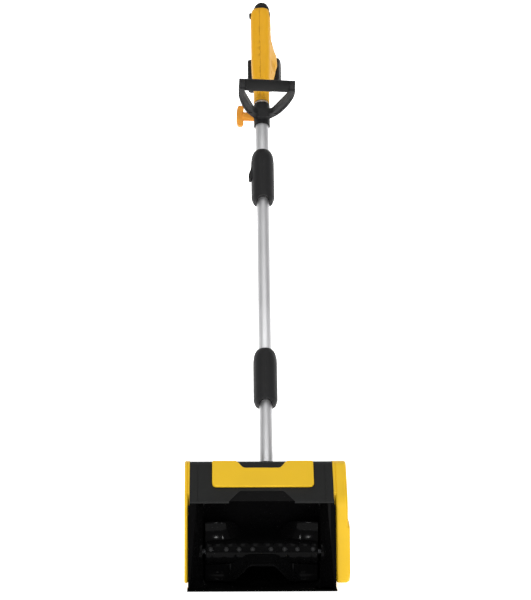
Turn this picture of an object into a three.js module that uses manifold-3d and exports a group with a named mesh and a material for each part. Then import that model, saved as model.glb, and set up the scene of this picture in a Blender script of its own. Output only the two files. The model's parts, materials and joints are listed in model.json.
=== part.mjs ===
// A powered snow shovel. A wide scoop holds a belt-driven paddle rotor. A telescoping pole leans back
// from it and carries a forward D-handle and a rear handle with the trigger and the battery pack.
//
// Millimetres, +Z up. The front of the machine, where the snow goes in, faces -Y, and +X is on the
// right of someone who looks at the front. The head is drawn from the scoop's lip: y is 0 at the lip's
// front edge and z is 0 on the ground. The whole machine is then moved so that the origin is at the
// middle of the head's flat underside.

import * as THREE from 'three';
import { mergeVertices } from 'three/addons/utils/BufferGeometryUtils.js';
import Module from 'manifold-3d';

const wasm = await Module();
wasm.setup();

// ---------------------------------------------------------------- driving dimensions

const GAP = 0.3;                 // clearance between pieces that touch
const WALL = 3;                  // moulded wall thickness

// Head, seen from the side: y runs back from the lip and z runs up.
const HEAD_HALF = 138;           // half width of the housing
const WING_HALF = 141;           // half width of the flange round the mouth
const BASE_LENGTH = 205;         // length of the flat underside
const HEAD_DEPTH = 222;          // lip to the back of the head
const HOUSING_TOP = 163;         // where the lower housing ends and the hood begins
const HOOD_FOOT = [30, 167];     // lower edge of the hood's sloping face
const HOOD_BROW = [103, 237];    // upper edge of that face
const HOOD_BACK = 140;           // where the hood meets the rear cover
const COVER_TAIL = 185;          // height of the rear cover's back edge
const NOTCH_TOP = 188;           // top of the notch in the hood's lower edge
const NOTCH_HALF_TOP = 37;
const NOTCH_HALF_FOOT = 64;

// Rotor and its chamber
const ROTOR = { y: 63, z: 67, radius: 58, half: 108 };
const CHAMBER_RADIUS = 64;
const CHAMBER_HALF = 112;
const CHAMBER_SWEEP = 40;        // degrees that the round back wall rises above the rotor's axis
const CHAMBER_THROAT = [66, 163];
const DRUM_RADIUS = 24;
const AXLE_RADIUS = 6;

// Drive
const MOTOR = { y: 178, z: 95, radius: 36, from: 8, to: 108 };
const SHAFT_RADIUS = 4;
const BELT = { from: 144, to: 157, thickness: 3.5 };
const TOOTH_PITCH = 5;
const ROTOR_TEETH = 36;
const MOTOR_TEETH = 12;

// Pole: t runs up the pole from POLE_FOOT. It leans back by POLE_LEAN degrees.
const POLE_FOOT = [12, 165, 230];
const POLE_LEAN = 28;
const TUBE = { radius: 13, bore: 11.9 };
const UPPER_TUBE = { radius: 14, bore: 13.3 };
const EAR_T = -8;                // height of the bolt that holds the pole in its socket
const LOWER_TUBE_SPAN = [-62, 184.7];
const MIDDLE_TUBE_SPAN = [185, 740];
const UPPER_TUBE_SPAN = [642, 900];
const COUPLER_RADIUS = 24.4;
const LOWER_COUPLER_SPAN = [120, 250];
const UPPER_COUPLER_SPAN = [584, 716];

// Forward D-handle, square to the pole
const D_HANDLE = { t: 796, barT: 804, thickness: 14, reach: 113, half: 59, bar: 12.5, turn: 4.2 };
const COLLAR = { bore: 15.2, radius: 17.2, from: 772, to: 826 };
const CLAMP = { y: 24, t: 811 };

// Rear handle, turned slightly on the tube
const GRIP_TURN = -7;
const GRIP = { from: 832, to: 1086, half: 21.5, front: -21 };
const PACK = { half: 36.5, from: 915, to: 977, front: 50.5, depth: 42 };

// ---------------------------------------------------------------- solids

function toSolid(geometry) {
  const bare = new THREE.BufferGeometry();
  bare.setAttribute('position', geometry.attributes.position.clone());
  if (geometry.index) bare.setIndex(geometry.index.clone());
  const merged = mergeVertices(bare, 1e-4);
  return new wasm.Manifold(new wasm.Mesh({
    numProp: 3,
    vertProperties: new Float32Array(merged.attributes.position.array),
    triVerts: new Uint32Array(merged.index.array),
  }));
}

function toGeometry(solid) {
  const mesh = solid.getMesh();
  const geometry = new THREE.BufferGeometry();
  geometry.setAttribute('position', new THREE.BufferAttribute(mesh.vertProperties, 3));
  geometry.setIndex(new THREE.BufferAttribute(mesh.triVerts, 1));
  return geometry;
}

const join = (...pieces) => toGeometry(pieces.map(toSolid).reduce((a, b) => a.add(b)));
const cut = (piece, ...tools) =>
  toGeometry(tools.map(toSolid).reduce((a, b) => a.subtract(b), toSolid(piece)));
const common = (a, b) => toGeometry(toSolid(a).intersect(toSolid(b)));

function block(x0, x1, y0, y1, z0, z1) {
  const box = new THREE.BoxGeometry(x1 - x0, y1 - y0, z1 - z0);
  return box.translate((x0 + x1) / 2, (y0 + y1) / 2, (z0 + z1) / 2);
}

// Round rods along each axis. a and b are the two coordinates of the centre line, in X, Y, Z order.
function rodX(radius, x0, x1, a = 0, b = 0, sides = 22) {
  const rod = new THREE.CylinderGeometry(radius, radius, x1 - x0, sides);
  return rod.rotateZ(Math.PI / 2).translate((x0 + x1) / 2, a, b);
}

function rodY(radius, y0, y1, a = 0, b = 0, sides = 22) {
  return new THREE.CylinderGeometry(radius, radius, y1 - y0, sides).translate(a, (y0 + y1) / 2, b);
}

function rodZ(radius, z0, z1, a = 0, b = 0, sides = 22) {
  const rod = new THREE.CylinderGeometry(radius, radius, z1 - z0, sides);
  return rod.rotateX(Math.PI / 2).translate(a, b, (z0 + z1) / 2);
}

// A closed outline of corners [u, v] or [u, v, radius]. A corner with a radius is rounded.
function outline(corners) {
  const shape = new THREE.Shape();
  const at = (i) => new THREE.Vector2(...corners[(i + corners.length) % corners.length].slice(0, 2));
  corners.forEach(([u, v, radius = 0], i) => {
    const corner = new THREE.Vector2(u, v);
    const [before, after] = [at(i - 1).sub(corner), at(i + 1).sub(corner)];
    const start = before.setLength(Math.min(radius, before.length() * 0.45)).add(corner);
    const end = after.setLength(Math.min(radius, after.length() * 0.45)).add(corner);
    if (i === 0) shape.moveTo(start.x, start.y);
    else shape.lineTo(start.x, start.y);
    if (radius > 0) shape.quadraticCurveTo(u, v, end.x, end.y);
  });
  shape.closePath();
  return shape;
}

const asShape = (section) => (section instanceof THREE.Shape ? section : outline(section));
const extruded = (section, depth, steps) => new THREE.ExtrudeGeometry(
  asShape(section),
  { depth, bevelEnabled: false, curveSegments: steps },
);

// Sections in (y, z) run along X, in (x, z) along Y and in (x, y) along Z.
function alongX(section, x0, x1, steps = 3) {
  const axes = [new THREE.Vector3(0, 1, 0), new THREE.Vector3(0, 0, 1), new THREE.Vector3(1, 0, 0)];
  const turn = new THREE.Matrix4().makeBasis(...axes);
  return extruded(section, x1 - x0, steps).applyMatrix4(turn).translate(x0, 0, 0);
}

function alongY(section, y0, y1, steps = 3) {
  return extruded(section, y1 - y0, steps).rotateX(Math.PI / 2).translate(0, y1, 0);
}

function alongZ(section, z0, z1, steps = 3) {
  return extruded(section, z1 - z0, steps).translate(0, 0, z0);
}

// A profile of [radius, height] turned about Z.
function turned(profile, sides = 22) {
  const points = profile.map(([radius, height]) => new THREE.Vector2(radius, height));
  return new THREE.LatheGeometry(points, sides).rotateX(Math.PI / 2);
}

function ring(radius, bore, z0, z1, sides = 22) {
  return turned([[bore, z0], [radius, z0], [radius, z1], [bore, z1], [bore, z0]], sides);
}

// A block or a rod on one side of the middle, between two distances from it.
const span = (hand, from, to) => [hand * from, hand * to].sort((a, b) => a - b);

// Turns a piece that was made along Z so that it lies along X.
const layOnX = (geometry, y = 0, z = 0) => geometry.rotateY(Math.PI / 2).translate(0, y, z);

// ---------------------------------------------------------------- materials

const finish = (color, roughness, metalness = 0) => ({ color, roughness, metalness });
const YELLOW = finish(0xe8b81c, 0.42);
const ORANGE = finish(0xe09a30, 0.45);
const BLACK_GLOSS = finish(0x0d0d0e, 0.22);
const BLACK_MATTE = finish(0x27282a, 0.6);
const BLACK_RUBBER = finish(0x1d1d1e, 0.85);
const GREY_PLASTIC = finish(0x55585c, 0.5);
const ALUMINIUM = finish(0xd3d4d6, 0.32, 1);
const STEEL = finish(0x9a9da1, 0.35, 1);
const DARK_STEEL = finish(0x4a4c50, 0.45, 1);
const BOARD_GREEN = finish(0x1f5c38, 0.5);

function part(group, name, geometry, look) {
  const mesh = new THREE.Mesh(geometry, new THREE.MeshStandardMaterial(look));
  mesh.name = name;
  group.add(mesh);
  return mesh;
}

const machine = new THREE.Group();
machine.position.y = -BASE_LENGTH / 2;

// ---------------------------------------------------------------- head

const degrees = THREE.MathUtils.degToRad;

// The chamber round the rotor, seen from the side, open to the front. grow thickens it into its wall.
function chamberOutline(grow = 0, front = -20) {
  const radius = CHAMBER_RADIUS + grow;
  const shape = new THREE.Shape();
  shape.moveTo(front, ROTOR.z - radius);
  shape.lineTo(ROTOR.y, ROTOR.z - radius);
  shape.absarc(ROTOR.y, ROTOR.z, radius, -Math.PI / 2, degrees(CHAMBER_SWEEP), false);
  shape.lineTo(CHAMBER_THROAT[0] + grow, CHAMBER_THROAT[1] + 0.5);
  shape.lineTo(front, CHAMBER_THROAT[1] + 0.5);
  shape.closePath();
  return shape;
}

const BOSS_RADIUS = 21;
const BEARING = { radius: 16, from: 117, width: 9 };

function scoopHousing() {
  const side = [[2, 0], [BASE_LENGTH, 0], [HEAD_DEPTH, 20, 6], [HEAD_DEPTH, HOUSING_TOP],
    [HOOD_FOOT[0], HOUSING_TOP], [2, 4]];
  const shoulder = HOUSING_TOP - 4;
  const flange = [[2, 0], [16, 0], [HOOD_FOOT[0] + 16, shoulder, 4], [HOOD_FOOT[0], shoulder], [2, 4]];
  const body = join(alongX(side, -HEAD_HALF, HEAD_HALF), alongX(flange, -WING_HALF, WING_HALF));
  const mouth = [[-WING_HALF + 2, -20], [WING_HALF - 2, -20], [WING_HALF - 2, 0], [CHAMBER_HALF, 56],
    [-CHAMBER_HALF, 56], [-WING_HALF + 2, 0]];
  const motorBay = cut(
    alongX([[72, 4], [BASE_LENGTH - 2, 4], [HEAD_DEPTH - WALL, 22], [HEAD_DEPTH - WALL, 200], [72, 200]],
      -CHAMBER_HALF, CHAMBER_HALF),
    alongX(chamberOutline(WALL), -CHAMBER_HALF - 1, CHAMBER_HALF + 1, 8),
  );
  const cutters = [
    alongX(chamberOutline(), -CHAMBER_HALF, CHAMBER_HALF, 8),
    alongZ(mouth, WALL, 200),
    motorBay,
    block(-200, 200, -1, 30.3, -5, 3.3),
    rodX(SHAFT_RADIUS + 2, 100, 200, MOTOR.y, MOTOR.z),
  ];
  let housing = cut(body, ...cutters);
  const pocket = [[62, 6, 8], [HEAD_DEPTH - 6, 6, 14], [HEAD_DEPTH - 6, HOUSING_TOP - 6, 8],
    [62, HOUSING_TOP - 6, 8]];
  for (const hand of [-1, 1]) {
    const wallFace = CHAMBER_HALF + WALL;
    housing = cut(housing, alongX(pocket, ...span(hand, wallFace, 200)));
    housing = join(housing, rodX(BOSS_RADIUS, ...span(hand, wallFace - 1, 129), ROTOR.y, ROTOR.z));
    const seat = rodX(BEARING.radius + GAP, ...span(hand, BEARING.from - 1, 200), ROTOR.y, ROTOR.z);
    housing = cut(housing, seat, rodX(10, ...span(hand, 100, 200), ROTOR.y, ROTOR.z));
  }
  return housing;
}

const slope = new THREE.Vector2(HOOD_BROW[0] - HOOD_FOOT[0], HOOD_BROW[1] - HOOD_FOOT[1]);
const slopeAngle = slope.angle();

// Poses a piece that was drawn on the hood's face: x across, y up the face and z out of it.
function ontoHood(geometry) {
  return geometry.rotateX(slopeAngle).translate(0, HOOD_FOOT[0], HOOD_FOOT[1]);
}

function notchBlock(grow = 0) {
  const foot = NOTCH_HALF_FOOT + grow;
  const top = NOTCH_HALF_TOP + grow;
  const front = [[-foot, 150], [foot, 150], [foot, HOOD_FOOT[1]], [top, NOTCH_TOP + grow],
    [-top, NOTCH_TOP + grow], [-foot, HOOD_FOOT[1]]];
  const side = [[0, 150], [CHAMBER_THROAT[0] + grow, 150], [CHAMBER_THROAT[0] + grow, HOUSING_TOP],
    [HOOD_FOOT[0] + 14 + grow, 240], [0, 240]];
  return common(alongY(front, 0, 120), alongX(side, -120, 120));
}

// Room for the pole's sleeve and its bolt ear, up through the hood and the rear cover.
function sleeveRoom() {
  const room = join(rodZ(23, -90, 60), rodX(8, 0, 32, 0, EAR_T), block(0, 32, -8, 8, EAR_T, 40));
  return room.rotateX(-degrees(POLE_LEAN)).translate(...POLE_FOOT);
}

function frontHood() {
  const skin = [[HOOD_FOOT[0], HOUSING_TOP + GAP], [...HOOD_FOOT, 2], [...HOOD_BROW, 8],
    [HOOD_BACK, HOOD_BROW[1]], [HOOD_BACK, HOUSING_TOP + GAP]];
  const ledge = HOUSING_TOP + WALL + 1;
  const ceiling = HOOD_BROW[1] - WALL;
  const inside = [[CHAMBER_THROAT[0] + 4, ledge], [HOOD_FOOT[0] + 10, ledge], [HOOD_BROW[0] + 1, ceiling],
    [HOOD_BACK + 20, ceiling], [HOOD_BACK + 20, 100], [CHAMBER_THROAT[0] + 4, 100]];
  const hollow = cut(alongX(inside, -HEAD_HALF + WALL, HEAD_HALF - WALL), notchBlock(WALL));
  return cut(alongX(skin, -HEAD_HALF, HEAD_HALF), hollow, notchBlock(), sleeveRoom());
}

function trimPlate() {
  const low = 34.5;
  const high = slope.length() - 1;
  const notch = high - 18;
  const plate = [[-98, low, 9], [98, low, 9], [98, high, 4], [53.5, high, 3], [36, notch, 4], [-36, notch, 4],
    [-53.5, high, 3], [-98, high, 4]];
  return ontoHood(alongZ(plate, GAP, 4.3));
}

function rearCover() {
  const back = HEAD_DEPTH;
  const skin = [[HOOD_BACK + GAP, HOUSING_TOP + GAP], [back, HOUSING_TOP + GAP], [back, COVER_TAIL, 12],
    [HOOD_BACK + 8, HOOD_BROW[1], 4], [HOOD_BACK + GAP, HOOD_BROW[1]]];
  const inside = [[HOOD_BACK - 5, 100], [back - WALL, 100], [back - WALL, COVER_TAIL - 1],
    [HOOD_BACK + 7, HOOD_BROW[1] - WALL - 1], [HOOD_BACK - 5, HOOD_BROW[1] - WALL - 1]];
  const ventPlaces = [-120, -106, -92, -78, -64, -50, -36];
  const vents = ventPlaces.map((x) => block(x, x + 6, back - 10, back + 5, 168, 178));
  return cut(
    alongX(skin, -HEAD_HALF, HEAD_HALF),
    alongX(inside, -HEAD_HALF + WALL, HEAD_HALF - WALL),
    sleeveRoom(),
    ...vents,
  );
}

const COVER_SIDE = [[14, 12, 10], [200, 8, 16], [214, 22, 8], [214, 180, 14], [152, 234, 22], [104, 238, 14],
  [38, 168, 16]];

function sideCover() {
  const outer = alongX(COVER_SIDE, -148, -WING_HALF - GAP);
  const rim = alongX(COVER_SIDE, -WING_HALF - 1, -HEAD_HALF - GAP);
  const behindFlange = block(-200, 0, 50, 400, -10, 400);
  const inside = [[58, 22, 6], [200, 20, 10], [202, 168, 10], [150, 212, 12], [112, 212, 12], [64, 168, 10]];
  return cut(join(outer, common(rim, behindFlange)), alongX(inside, -145, 0));
}

// The belt's loop round its two pulleys, with grow added to both radii.
function beltLoop(grow) {
  const rotorRadius = (ROTOR_TEETH * TOOTH_PITCH) / (2 * Math.PI) + grow;
  const motorRadius = (MOTOR_TEETH * TOOTH_PITCH) / (2 * Math.PI) + grow;
  const across = new THREE.Vector2(MOTOR.y - ROTOR.y, MOTOR.z - ROTOR.z);
  const along = across.angle();
  const wrap = Math.acos((rotorRadius - motorRadius) / across.length());
  const shape = new THREE.Shape();
  shape.absarc(ROTOR.y, ROTOR.z, rotorRadius, along + wrap, along - wrap + 2 * Math.PI, false);
  shape.absarc(MOTOR.y, MOTOR.z, motorRadius, along - wrap, along + wrap, false);
  shape.closePath();
  return shape;
}

function beltCover() {
  const outer = alongX(COVER_SIDE, WING_HALF + GAP, 162);
  const rim = alongX(COVER_SIDE, HEAD_HALF + GAP, WING_HALF + 1);
  const raised = common(alongX(beltLoop(32), 150, 168.5, 8), alongX(COVER_SIDE, 100, 200));
  const room = alongX(beltLoop(6), 100, 165.5, 8);
  const inside = [[58, 22, 6], [200, 20, 10], [202, 168, 10], [150, 212, 12], [112, 212, 12], [64, 168, 10]];
  const behindFlange = block(0, 200, 50, 400, -10, 400);
  return cut(join(outer, raised, common(rim, behindFlange)), alongX(inside, 100, 159), room);
}

const BLADE = { half: 142.5, overhang: 8, back: 30 };

function scraperBlade() {
  const wedge = [[-BLADE.overhang, 0], [BLADE.back, 0], [BLADE.back, 3], [0, 3], [-BLADE.overhang, 1.2]];
  const screws = [-110, -55, 0, 55, 110].map((x) => rodZ(3.2, 2, 4, x, 19, 12));
  return join(alongX(wedge, -BLADE.half, BLADE.half), ...screws);
}

part(machine, 'scoop_housing', scoopHousing(), BLACK_GLOSS);
part(machine, 'front_hood', frontHood(), BLACK_MATTE);
part(machine, 'hood_trim_plate', trimPlate(), YELLOW);
part(machine, 'rear_cover', rearCover(), BLACK_MATTE);
part(machine, 'side_cover', sideCover(), YELLOW);
part(machine, 'belt_cover', beltCover(), YELLOW);
part(machine, 'scraper_blade', scraperBlade(), BLACK_GLOSS);

// ---------------------------------------------------------------- drive

const loopHole = beltLoop(0.4);
const belt = beltLoop(0.4 + BELT.thickness);
belt.holes.push(new THREE.Path(loopHole.getPoints(10)));
part(machine, 'drive_belt', alongX(belt, BELT.from + 1, BELT.to - 1, 10), BLACK_RUBBER);

function pulley(teeth, bore) {
  const radius = (teeth * TOOTH_PITCH) / (2 * Math.PI);
  const rim = radius + 3;
  const [a, b] = [BELT.from, BELT.to];
  return turned([[bore, a - 2], [rim, a - 2], [rim, a], [radius, a], [radius, b], [rim, b], [rim, b + 2],
    [bore, b + 2], [bore, a - 2]], 24);
}

part(machine, 'rotor_pulley', layOnX(pulley(ROTOR_TEETH, AXLE_RADIUS + GAP), ROTOR.y, ROTOR.z), GREY_PLASTIC);
part(machine, 'motor_pulley', layOnX(pulley(MOTOR_TEETH, SHAFT_RADIUS + GAP), MOTOR.y, MOTOR.z), STEEL);

function motorCan() {
  const { radius, from, to } = MOTOR;
  const mouth = SHAFT_RADIUS + 4;
  const inner = radius - WALL;
  return turned([[mouth, from], [radius, from], [radius, to], [mouth, to], [mouth, to - WALL],
    [inner, to - WALL], [inner, from + WALL], [mouth, from + WALL], [mouth, from]]);
}

part(machine, 'motor_can', layOnX(motorCan(), MOTOR.y, MOTOR.z), DARK_STEEL);
part(machine, 'motor_shaft', rodX(SHAFT_RADIUS, -12, 162, MOTOR.y, MOTOR.z, 20), STEEL);
part(machine, 'motor_armature', layOnX(ring(27, SHAFT_RADIUS + GAP, 22, 94), MOTOR.y, MOTOR.z), DARK_STEEL);

const FAN_BLADES = 7;

function coolingFan() {
  const hub = ring(12, SHAFT_RADIUS + GAP, -10, 0);
  const turns = Array.from({ length: FAN_BLADES }, (_, i) => (i * 2 * Math.PI) / FAN_BLADES);
  const blades = turns.map((turn) => block(-1, 1, 10, 30, -9, -1).rotateZ(turn));
  return layOnX(join(hub, ...blades), MOTOR.y, MOTOR.z);
}

part(machine, 'cooling_fan', coolingFan(), BLACK_MATTE);

const cradle = block(34, 84, MOTOR.y - 24, MOTOR.y + 24, 4 + GAP, MOTOR.z - 14);
part(machine, 'motor_cradle', cut(cradle, rodX(MOTOR.radius + 1, 20, 100, MOTOR.y, MOTOR.z)), GREY_PLASTIC);

function controlBoard() {
  const board = block(-98, -34, 148, 204, 28, 30);
  const posts = [-92, -40].flatMap((x) => [154, 198].map((y) => rodZ(3, 4 + GAP, 29, x, y, 10)));
  const parts = [block(-90, -70, 160, 190, 29, 44), block(-62, -46, 156, 172, 29, 38)];
  return join(board, ...posts, ...parts);
}

part(machine, 'control_board', controlBoard(), BOARD_GREEN);

// ---------------------------------------------------------------- rotor

part(machine, 'rotor_axle', rodX(AXLE_RADIUS, -130, 162, ROTOR.y, ROTOR.z), STEEL);

for (const [name, hand] of [['bearing_left', -1], ['bearing_right', 1]]) {
  const [from, to] = span(hand, BEARING.from, BEARING.from + BEARING.width);
  part(machine, name, layOnX(ring(BEARING.radius, AXLE_RADIUS + GAP, from, to), ROTOR.y, ROTOR.z), STEEL);
}

function rotorDrum() {
  const [bore, wall, end] = [AXLE_RADIUS + GAP, DRUM_RADIUS - WALL, ROTOR.half];
  return turned([[bore, -end], [DRUM_RADIUS, -end], [DRUM_RADIUS, end], [bore, end], [bore, end - 4],
    [wall, end - 4], [wall, 4 - end], [bore, 4 - end], [bore, -end]]);
}

part(machine, 'rotor_drum', layOnX(rotorDrum(), ROTOR.y, ROTOR.z), BLACK_MATTE);

// The paddles' edge starts just under the drum's front at the middle of the rotor, and sweeps down to
// its underside towards both ends, so that snow is driven to the middle and thrown forwards.
function paddleAngle(x) {
  const [level, swept] = [19, 77];
  const share = THREE.MathUtils.smoothstep(Math.abs(x), level, swept);
  return degrees(20 + 72 * share);
}

// Bends a flat slab (x across, y out from the axle, z through it) round the axle.
function sweep(geometry, angle) {
  const place = geometry.attributes.position;
  for (let i = 0; i < place.count; i += 1) {
    const [x, out, through] = [place.getX(i), place.getY(i), place.getZ(i)];
    const turn = Math.PI + paddleAngle(x) + angle;
    place.setXYZ(
      i,
      x,
      ROTOR.y + out * Math.cos(turn) - through * Math.sin(turn),
      ROTOR.z + out * Math.sin(turn) + through * Math.cos(turn),
    );
  }
  return geometry;
}

function paddle(angle) {
  const root = DRUM_RADIUS + 2 * GAP;
  const blade = new THREE.BoxGeometry(2 * ROTOR.half, ROTOR.radius - root, 5, 24, 1, 1);
  const pieces = [sweep(blade.translate(0, (root + ROTOR.radius) / 2, 0), angle)];
  for (const [x, height] of [[-60, 14], [0, 6], [60, 14]]) {
    const rib = alongX([[root, 0], [ROTOR.radius - 4, 0], [root, -height]], x - 1.5, x + 1.5);
    const turn = Math.PI + paddleAngle(x) + angle;
    pieces.push(rib.rotateX(turn).translate(0, ROTOR.y, ROTOR.z));
  }
  return join(...pieces);
}

function paddleClamp(angle) {
  const strip = common(
    cut(rodX(DRUM_RADIUS + 3, -104, 104), rodX(DRUM_RADIUS + GAP, -110, 110)),
    block(-104, 104, DRUM_RADIUS - 8, DRUM_RADIUS + 5, -6, 6),
  );
  const places = [17.5, 43.5, 68, 98].flatMap((x) => [x, -x]);
  const heads = places.map((x) => rodY(3.5, DRUM_RADIUS + 1, DRUM_RADIUS + 6, x, 0, 10));
  return join(strip, ...heads).rotateX(Math.PI - degrees(16) + angle).translate(0, ROTOR.y, ROTOR.z);
}

for (const [mark, angle] of [['a', 0], ['b', Math.PI]]) {
  part(machine, `paddle_${mark}`, paddle(angle), BLACK_RUBBER);
  part(machine, `paddle_clamp_${mark}`, paddleClamp(angle), BLACK_MATTE);
}

// ---------------------------------------------------------------- pole

// Everything from here is drawn in the pole's own frame: z runs up the pole, -y faces the front.
const pole = new THREE.Group();
pole.position.set(...POLE_FOOT);
pole.rotation.x = -degrees(POLE_LEAN);
machine.add(pole);

const tube = ({ radius, bore }, [from, to]) => ring(radius, bore, from, to, 24);

// Moves a piece that was drawn in the head's frame into the pole's frame.
const intoPole = (geometry) => {
  const [x, y, z] = POLE_FOOT;
  return geometry.translate(-x, -y, -z).rotateX(degrees(POLE_LEAN));
};

function poleSocket() {
  const sleeve = rodZ(22, -82, -7);
  const ear = rodX(7, 14, 27, 0, EAR_T, 16);
  const foot = block(-110, 90, 100, 206, HOUSING_TOP + GAP, HOUSING_TOP + 6);
  const ground = block(-400, 400, -400, 400, -300, HOUSING_TOP + GAP);
  return cut(
    join(sleeve, ear, intoPole(foot)),
    intoPole(ground),
    rodZ(TUBE.radius + GAP, -64, 20),
    rodX(3.3, -40, 40, 0, EAR_T, 16),
  );
}

part(pole, 'pole_socket', poleSocket(), BLACK_MATTE);
part(pole, 'lower_tube', cut(tube(TUBE, LOWER_TUBE_SPAN), rodX(3.3, -40, 40, 0, EAR_T, 16)), ALUMINIUM);
part(pole, 'socket_bolt', join(rodX(3, -21, 27.5, 0, EAR_T, 16), rodX(5, 27.3, 30, 0, EAR_T, 6)), STEEL);
part(pole, 'middle_tube', tube(TUBE, MIDDLE_TUBE_SPAN), ALUMINIUM);
part(pole, 'upper_tube', tube(UPPER_TUBE, UPPER_TUBE_SPAN), ALUMINIUM);

// A coupler is a round sleeve with tapered ends. It is split into a front and a back half, and two
// screws on opposite sides of the tubes pull the halves together.
function couplerHalf([from, to], side, tools) {
  const r = COUPLER_RADIUS;
  const sleeve = turned([[0, from], [16, from], [r, from + 10], [r, to - 14], [19, to - 4], [16, to],
    [0, to]]);
  const half = block(-40, 40, ...span(side, GAP / 2, 40), from - 5, to + 5);
  return cut(common(sleeve, half), ...tools);
}

const screwPlaces = ([from, to]) => [[18.6, from + 34], [-18.6, to - 30]];

function couplerScrew([x, t]) {
  return join(rodY(1.8, -8, 13, x, t, 12), rodY(3.3, 10.5, 13, x, t, 12));
}

function screwHoles(places) {
  return places.flatMap(([x, t]) => [rodY(2.1, -8.5, 13, x, t, 12), rodY(3.6, 10.2, 40, x, t, 12)]);
}

const lowerScrews = screwPlaces(LOWER_COUPLER_SPAN);
const lowerBore = [rodZ(TUBE.radius + GAP, 100, 300), ...screwHoles(lowerScrews)];
part(pole, 'lower_coupler_front', couplerHalf(LOWER_COUPLER_SPAN, -1, lowerBore), BLACK_MATTE);
part(pole, 'lower_coupler_back', couplerHalf(LOWER_COUPLER_SPAN, 1, lowerBore), BLACK_MATTE);
lowerScrews.forEach((place, i) => part(pole, `lower_coupler_screw_${i + 1}`, couplerScrew(place), STEEL));

// The upper coupler is fixed to the upper tube and slides on the middle one. Its cam lever locks it.
const LEVER = { x: -19.5, t: 682, half: 8, foot: 640 };
const upperScrews = [[18.6, 624], [18.6, 694]];
const upperBore = [
  rodZ(TUBE.radius + GAP, 560, 660),
  rodZ(UPPER_TUBE.radius + GAP, UPPER_TUBE_SPAN[0] - GAP, 760),
  alongY([[-50, LEVER.foot - 6], [-15, LEVER.foot - 6], [-15, LEVER.t + 6.5], [-50, LEVER.t + 6.5]],
    -LEVER.half - GAP, LEVER.half + GAP),
  rodY(2.3, -12.3, 12.3, LEVER.x, LEVER.t, 14),
  ...screwHoles(upperScrews),
];
part(pole, 'upper_coupler_front', couplerHalf(UPPER_COUPLER_SPAN, -1, upperBore), BLACK_MATTE);
part(pole, 'upper_coupler_back', couplerHalf(UPPER_COUPLER_SPAN, 1, upperBore), BLACK_MATTE);
upperScrews.forEach((place, i) => part(pole, `upper_coupler_screw_${i + 1}`, couplerScrew(place), STEEL));

function camLever() {
  const { x, t, half, foot } = LEVER;
  const side = [[x + 2.6, t + 3, 2], [x + 2.6, foot + 4], [x - 7, foot - 1, 2], [x - 10.5, foot + 2, 2],
    [x - 10, foot + 12, 5], [x - 5, foot + 24, 8], [x - 4.5, t + 3, 3]];
  return cut(alongY(side, -half, half), rodY(2.3, -20, 20, x, t, 14));
}

part(pole, 'cam_lever', camLever(), BLACK_MATTE);
part(pole, 'lever_pin', rodY(2, -12, 12, LEVER.x, LEVER.t, 14), STEEL);

// ---------------------------------------------------------------- D-handle

const dHandle = new THREE.Group();
dHandle.rotation.z = degrees(D_HANDLE.turn);
pole.add(dHandle);

part(dHandle, 'd_handle_liner', ring(15, UPPER_TUBE.radius + GAP - 0.1, 774, 824, 24), GREY_PLASTIC);

function dHandleFrame() {
  const { t, barT, thickness, reach, half, bar } = D_HANDLE;
  const outer = [[-half, -reach - 6, 2], [half, -reach - 6, 2], [half, -98, 14], [50, -62, 20], [32, -24, 18],
    [16, -8], [-16, -8], [-32, -24, 18], [-50, -62, 20], [-half, -98, 14]];
  const window = [[-48.5, -reach + 14, 4], [48.5, -reach + 14, 4], [18, -27, 6], [-18, -27, 6]];
  const frame = cut(alongZ(outer, t - thickness / 2, t + thickness / 2), alongZ(window, 0, 2000));
  const core = rodX(bar - 2.5, -half + 1, half - 1, -reach, barT, 20);
  const room = cut(
    block(-47, 47, -reach - 14, -reach + 14, t - 20, barT + 14),
    rodX(bar - 2.5, -48, 48, -reach, barT, 20),
  );
  const collar = rodZ(COLLAR.radius, COLLAR.from, COLLAR.to);
  const lug = block(-10, 10, 8, 32, CLAMP.t - 9, CLAMP.t + 9);
  const ends = [-1, 1].map((hand) => rodX(bar, ...span(hand, 47.3, half), -reach, barT, 20));
  return cut(
    join(cut(frame, room), core, ...ends, collar, lug),
    rodZ(COLLAR.bore, 700, 900),
    block(-2, 2, 5, 60, COLLAR.from - 2, COLLAR.to + 2),
    rodX(3.3, -60, 60, CLAMP.y, CLAMP.t, 16),
  );
}

function dHandleGrip() {
  const { barT, reach, bar } = D_HANDLE;
  return cut(rodX(bar, -46.7, 46.7, -reach, barT, 24), rodX(bar - 2.5 + GAP, -60, 60, -reach, barT, 24));
}

part(dHandle, 'd_handle_frame', dHandleFrame(), BLACK_MATTE);
part(dHandle, 'd_handle_grip', dHandleGrip(), BLACK_RUBBER);

const boltHead = rodX(6, 10 + GAP, 14.5, CLAMP.y, CLAMP.t, 6);
part(dHandle, 'clamp_bolt', join(rodX(3, -34, 11, CLAMP.y, CLAMP.t, 16), boltHead), STEEL);

function clampKnob() {
  const hub = rodX(9.5, -40, -10 - GAP, 0, 0, 20);
  const wing = [[-47, 6, 4], [-38, 9, 3], [-36, 21, 4], [-48, 23, 4], [-52, 12, 4], [-52, -12, 4],
    [-48, -23, 4], [-36, -21, 4], [-38, -9, 3], [-47, -6, 4]];
  const wings = alongY(wing, -4.5, 4.5);
  const wingBar = alongY([[-50, -10], [-38, -10], [-38, 10], [-50, 10]], -4.5, 4.5);
  const knob = cut(join(hub, wings, wingBar), rodX(3.3, -36, 0, 0, 0, 16));
  return knob.rotateX(degrees(12)).translate(0, CLAMP.y, CLAMP.t);
}

part(dHandle, 'clamp_knob', clampKnob(), ORANGE);

// ---------------------------------------------------------------- rear handle

const grip = new THREE.Group();
grip.rotation.z = degrees(GRIP_TURN);
pole.add(grip);

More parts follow.
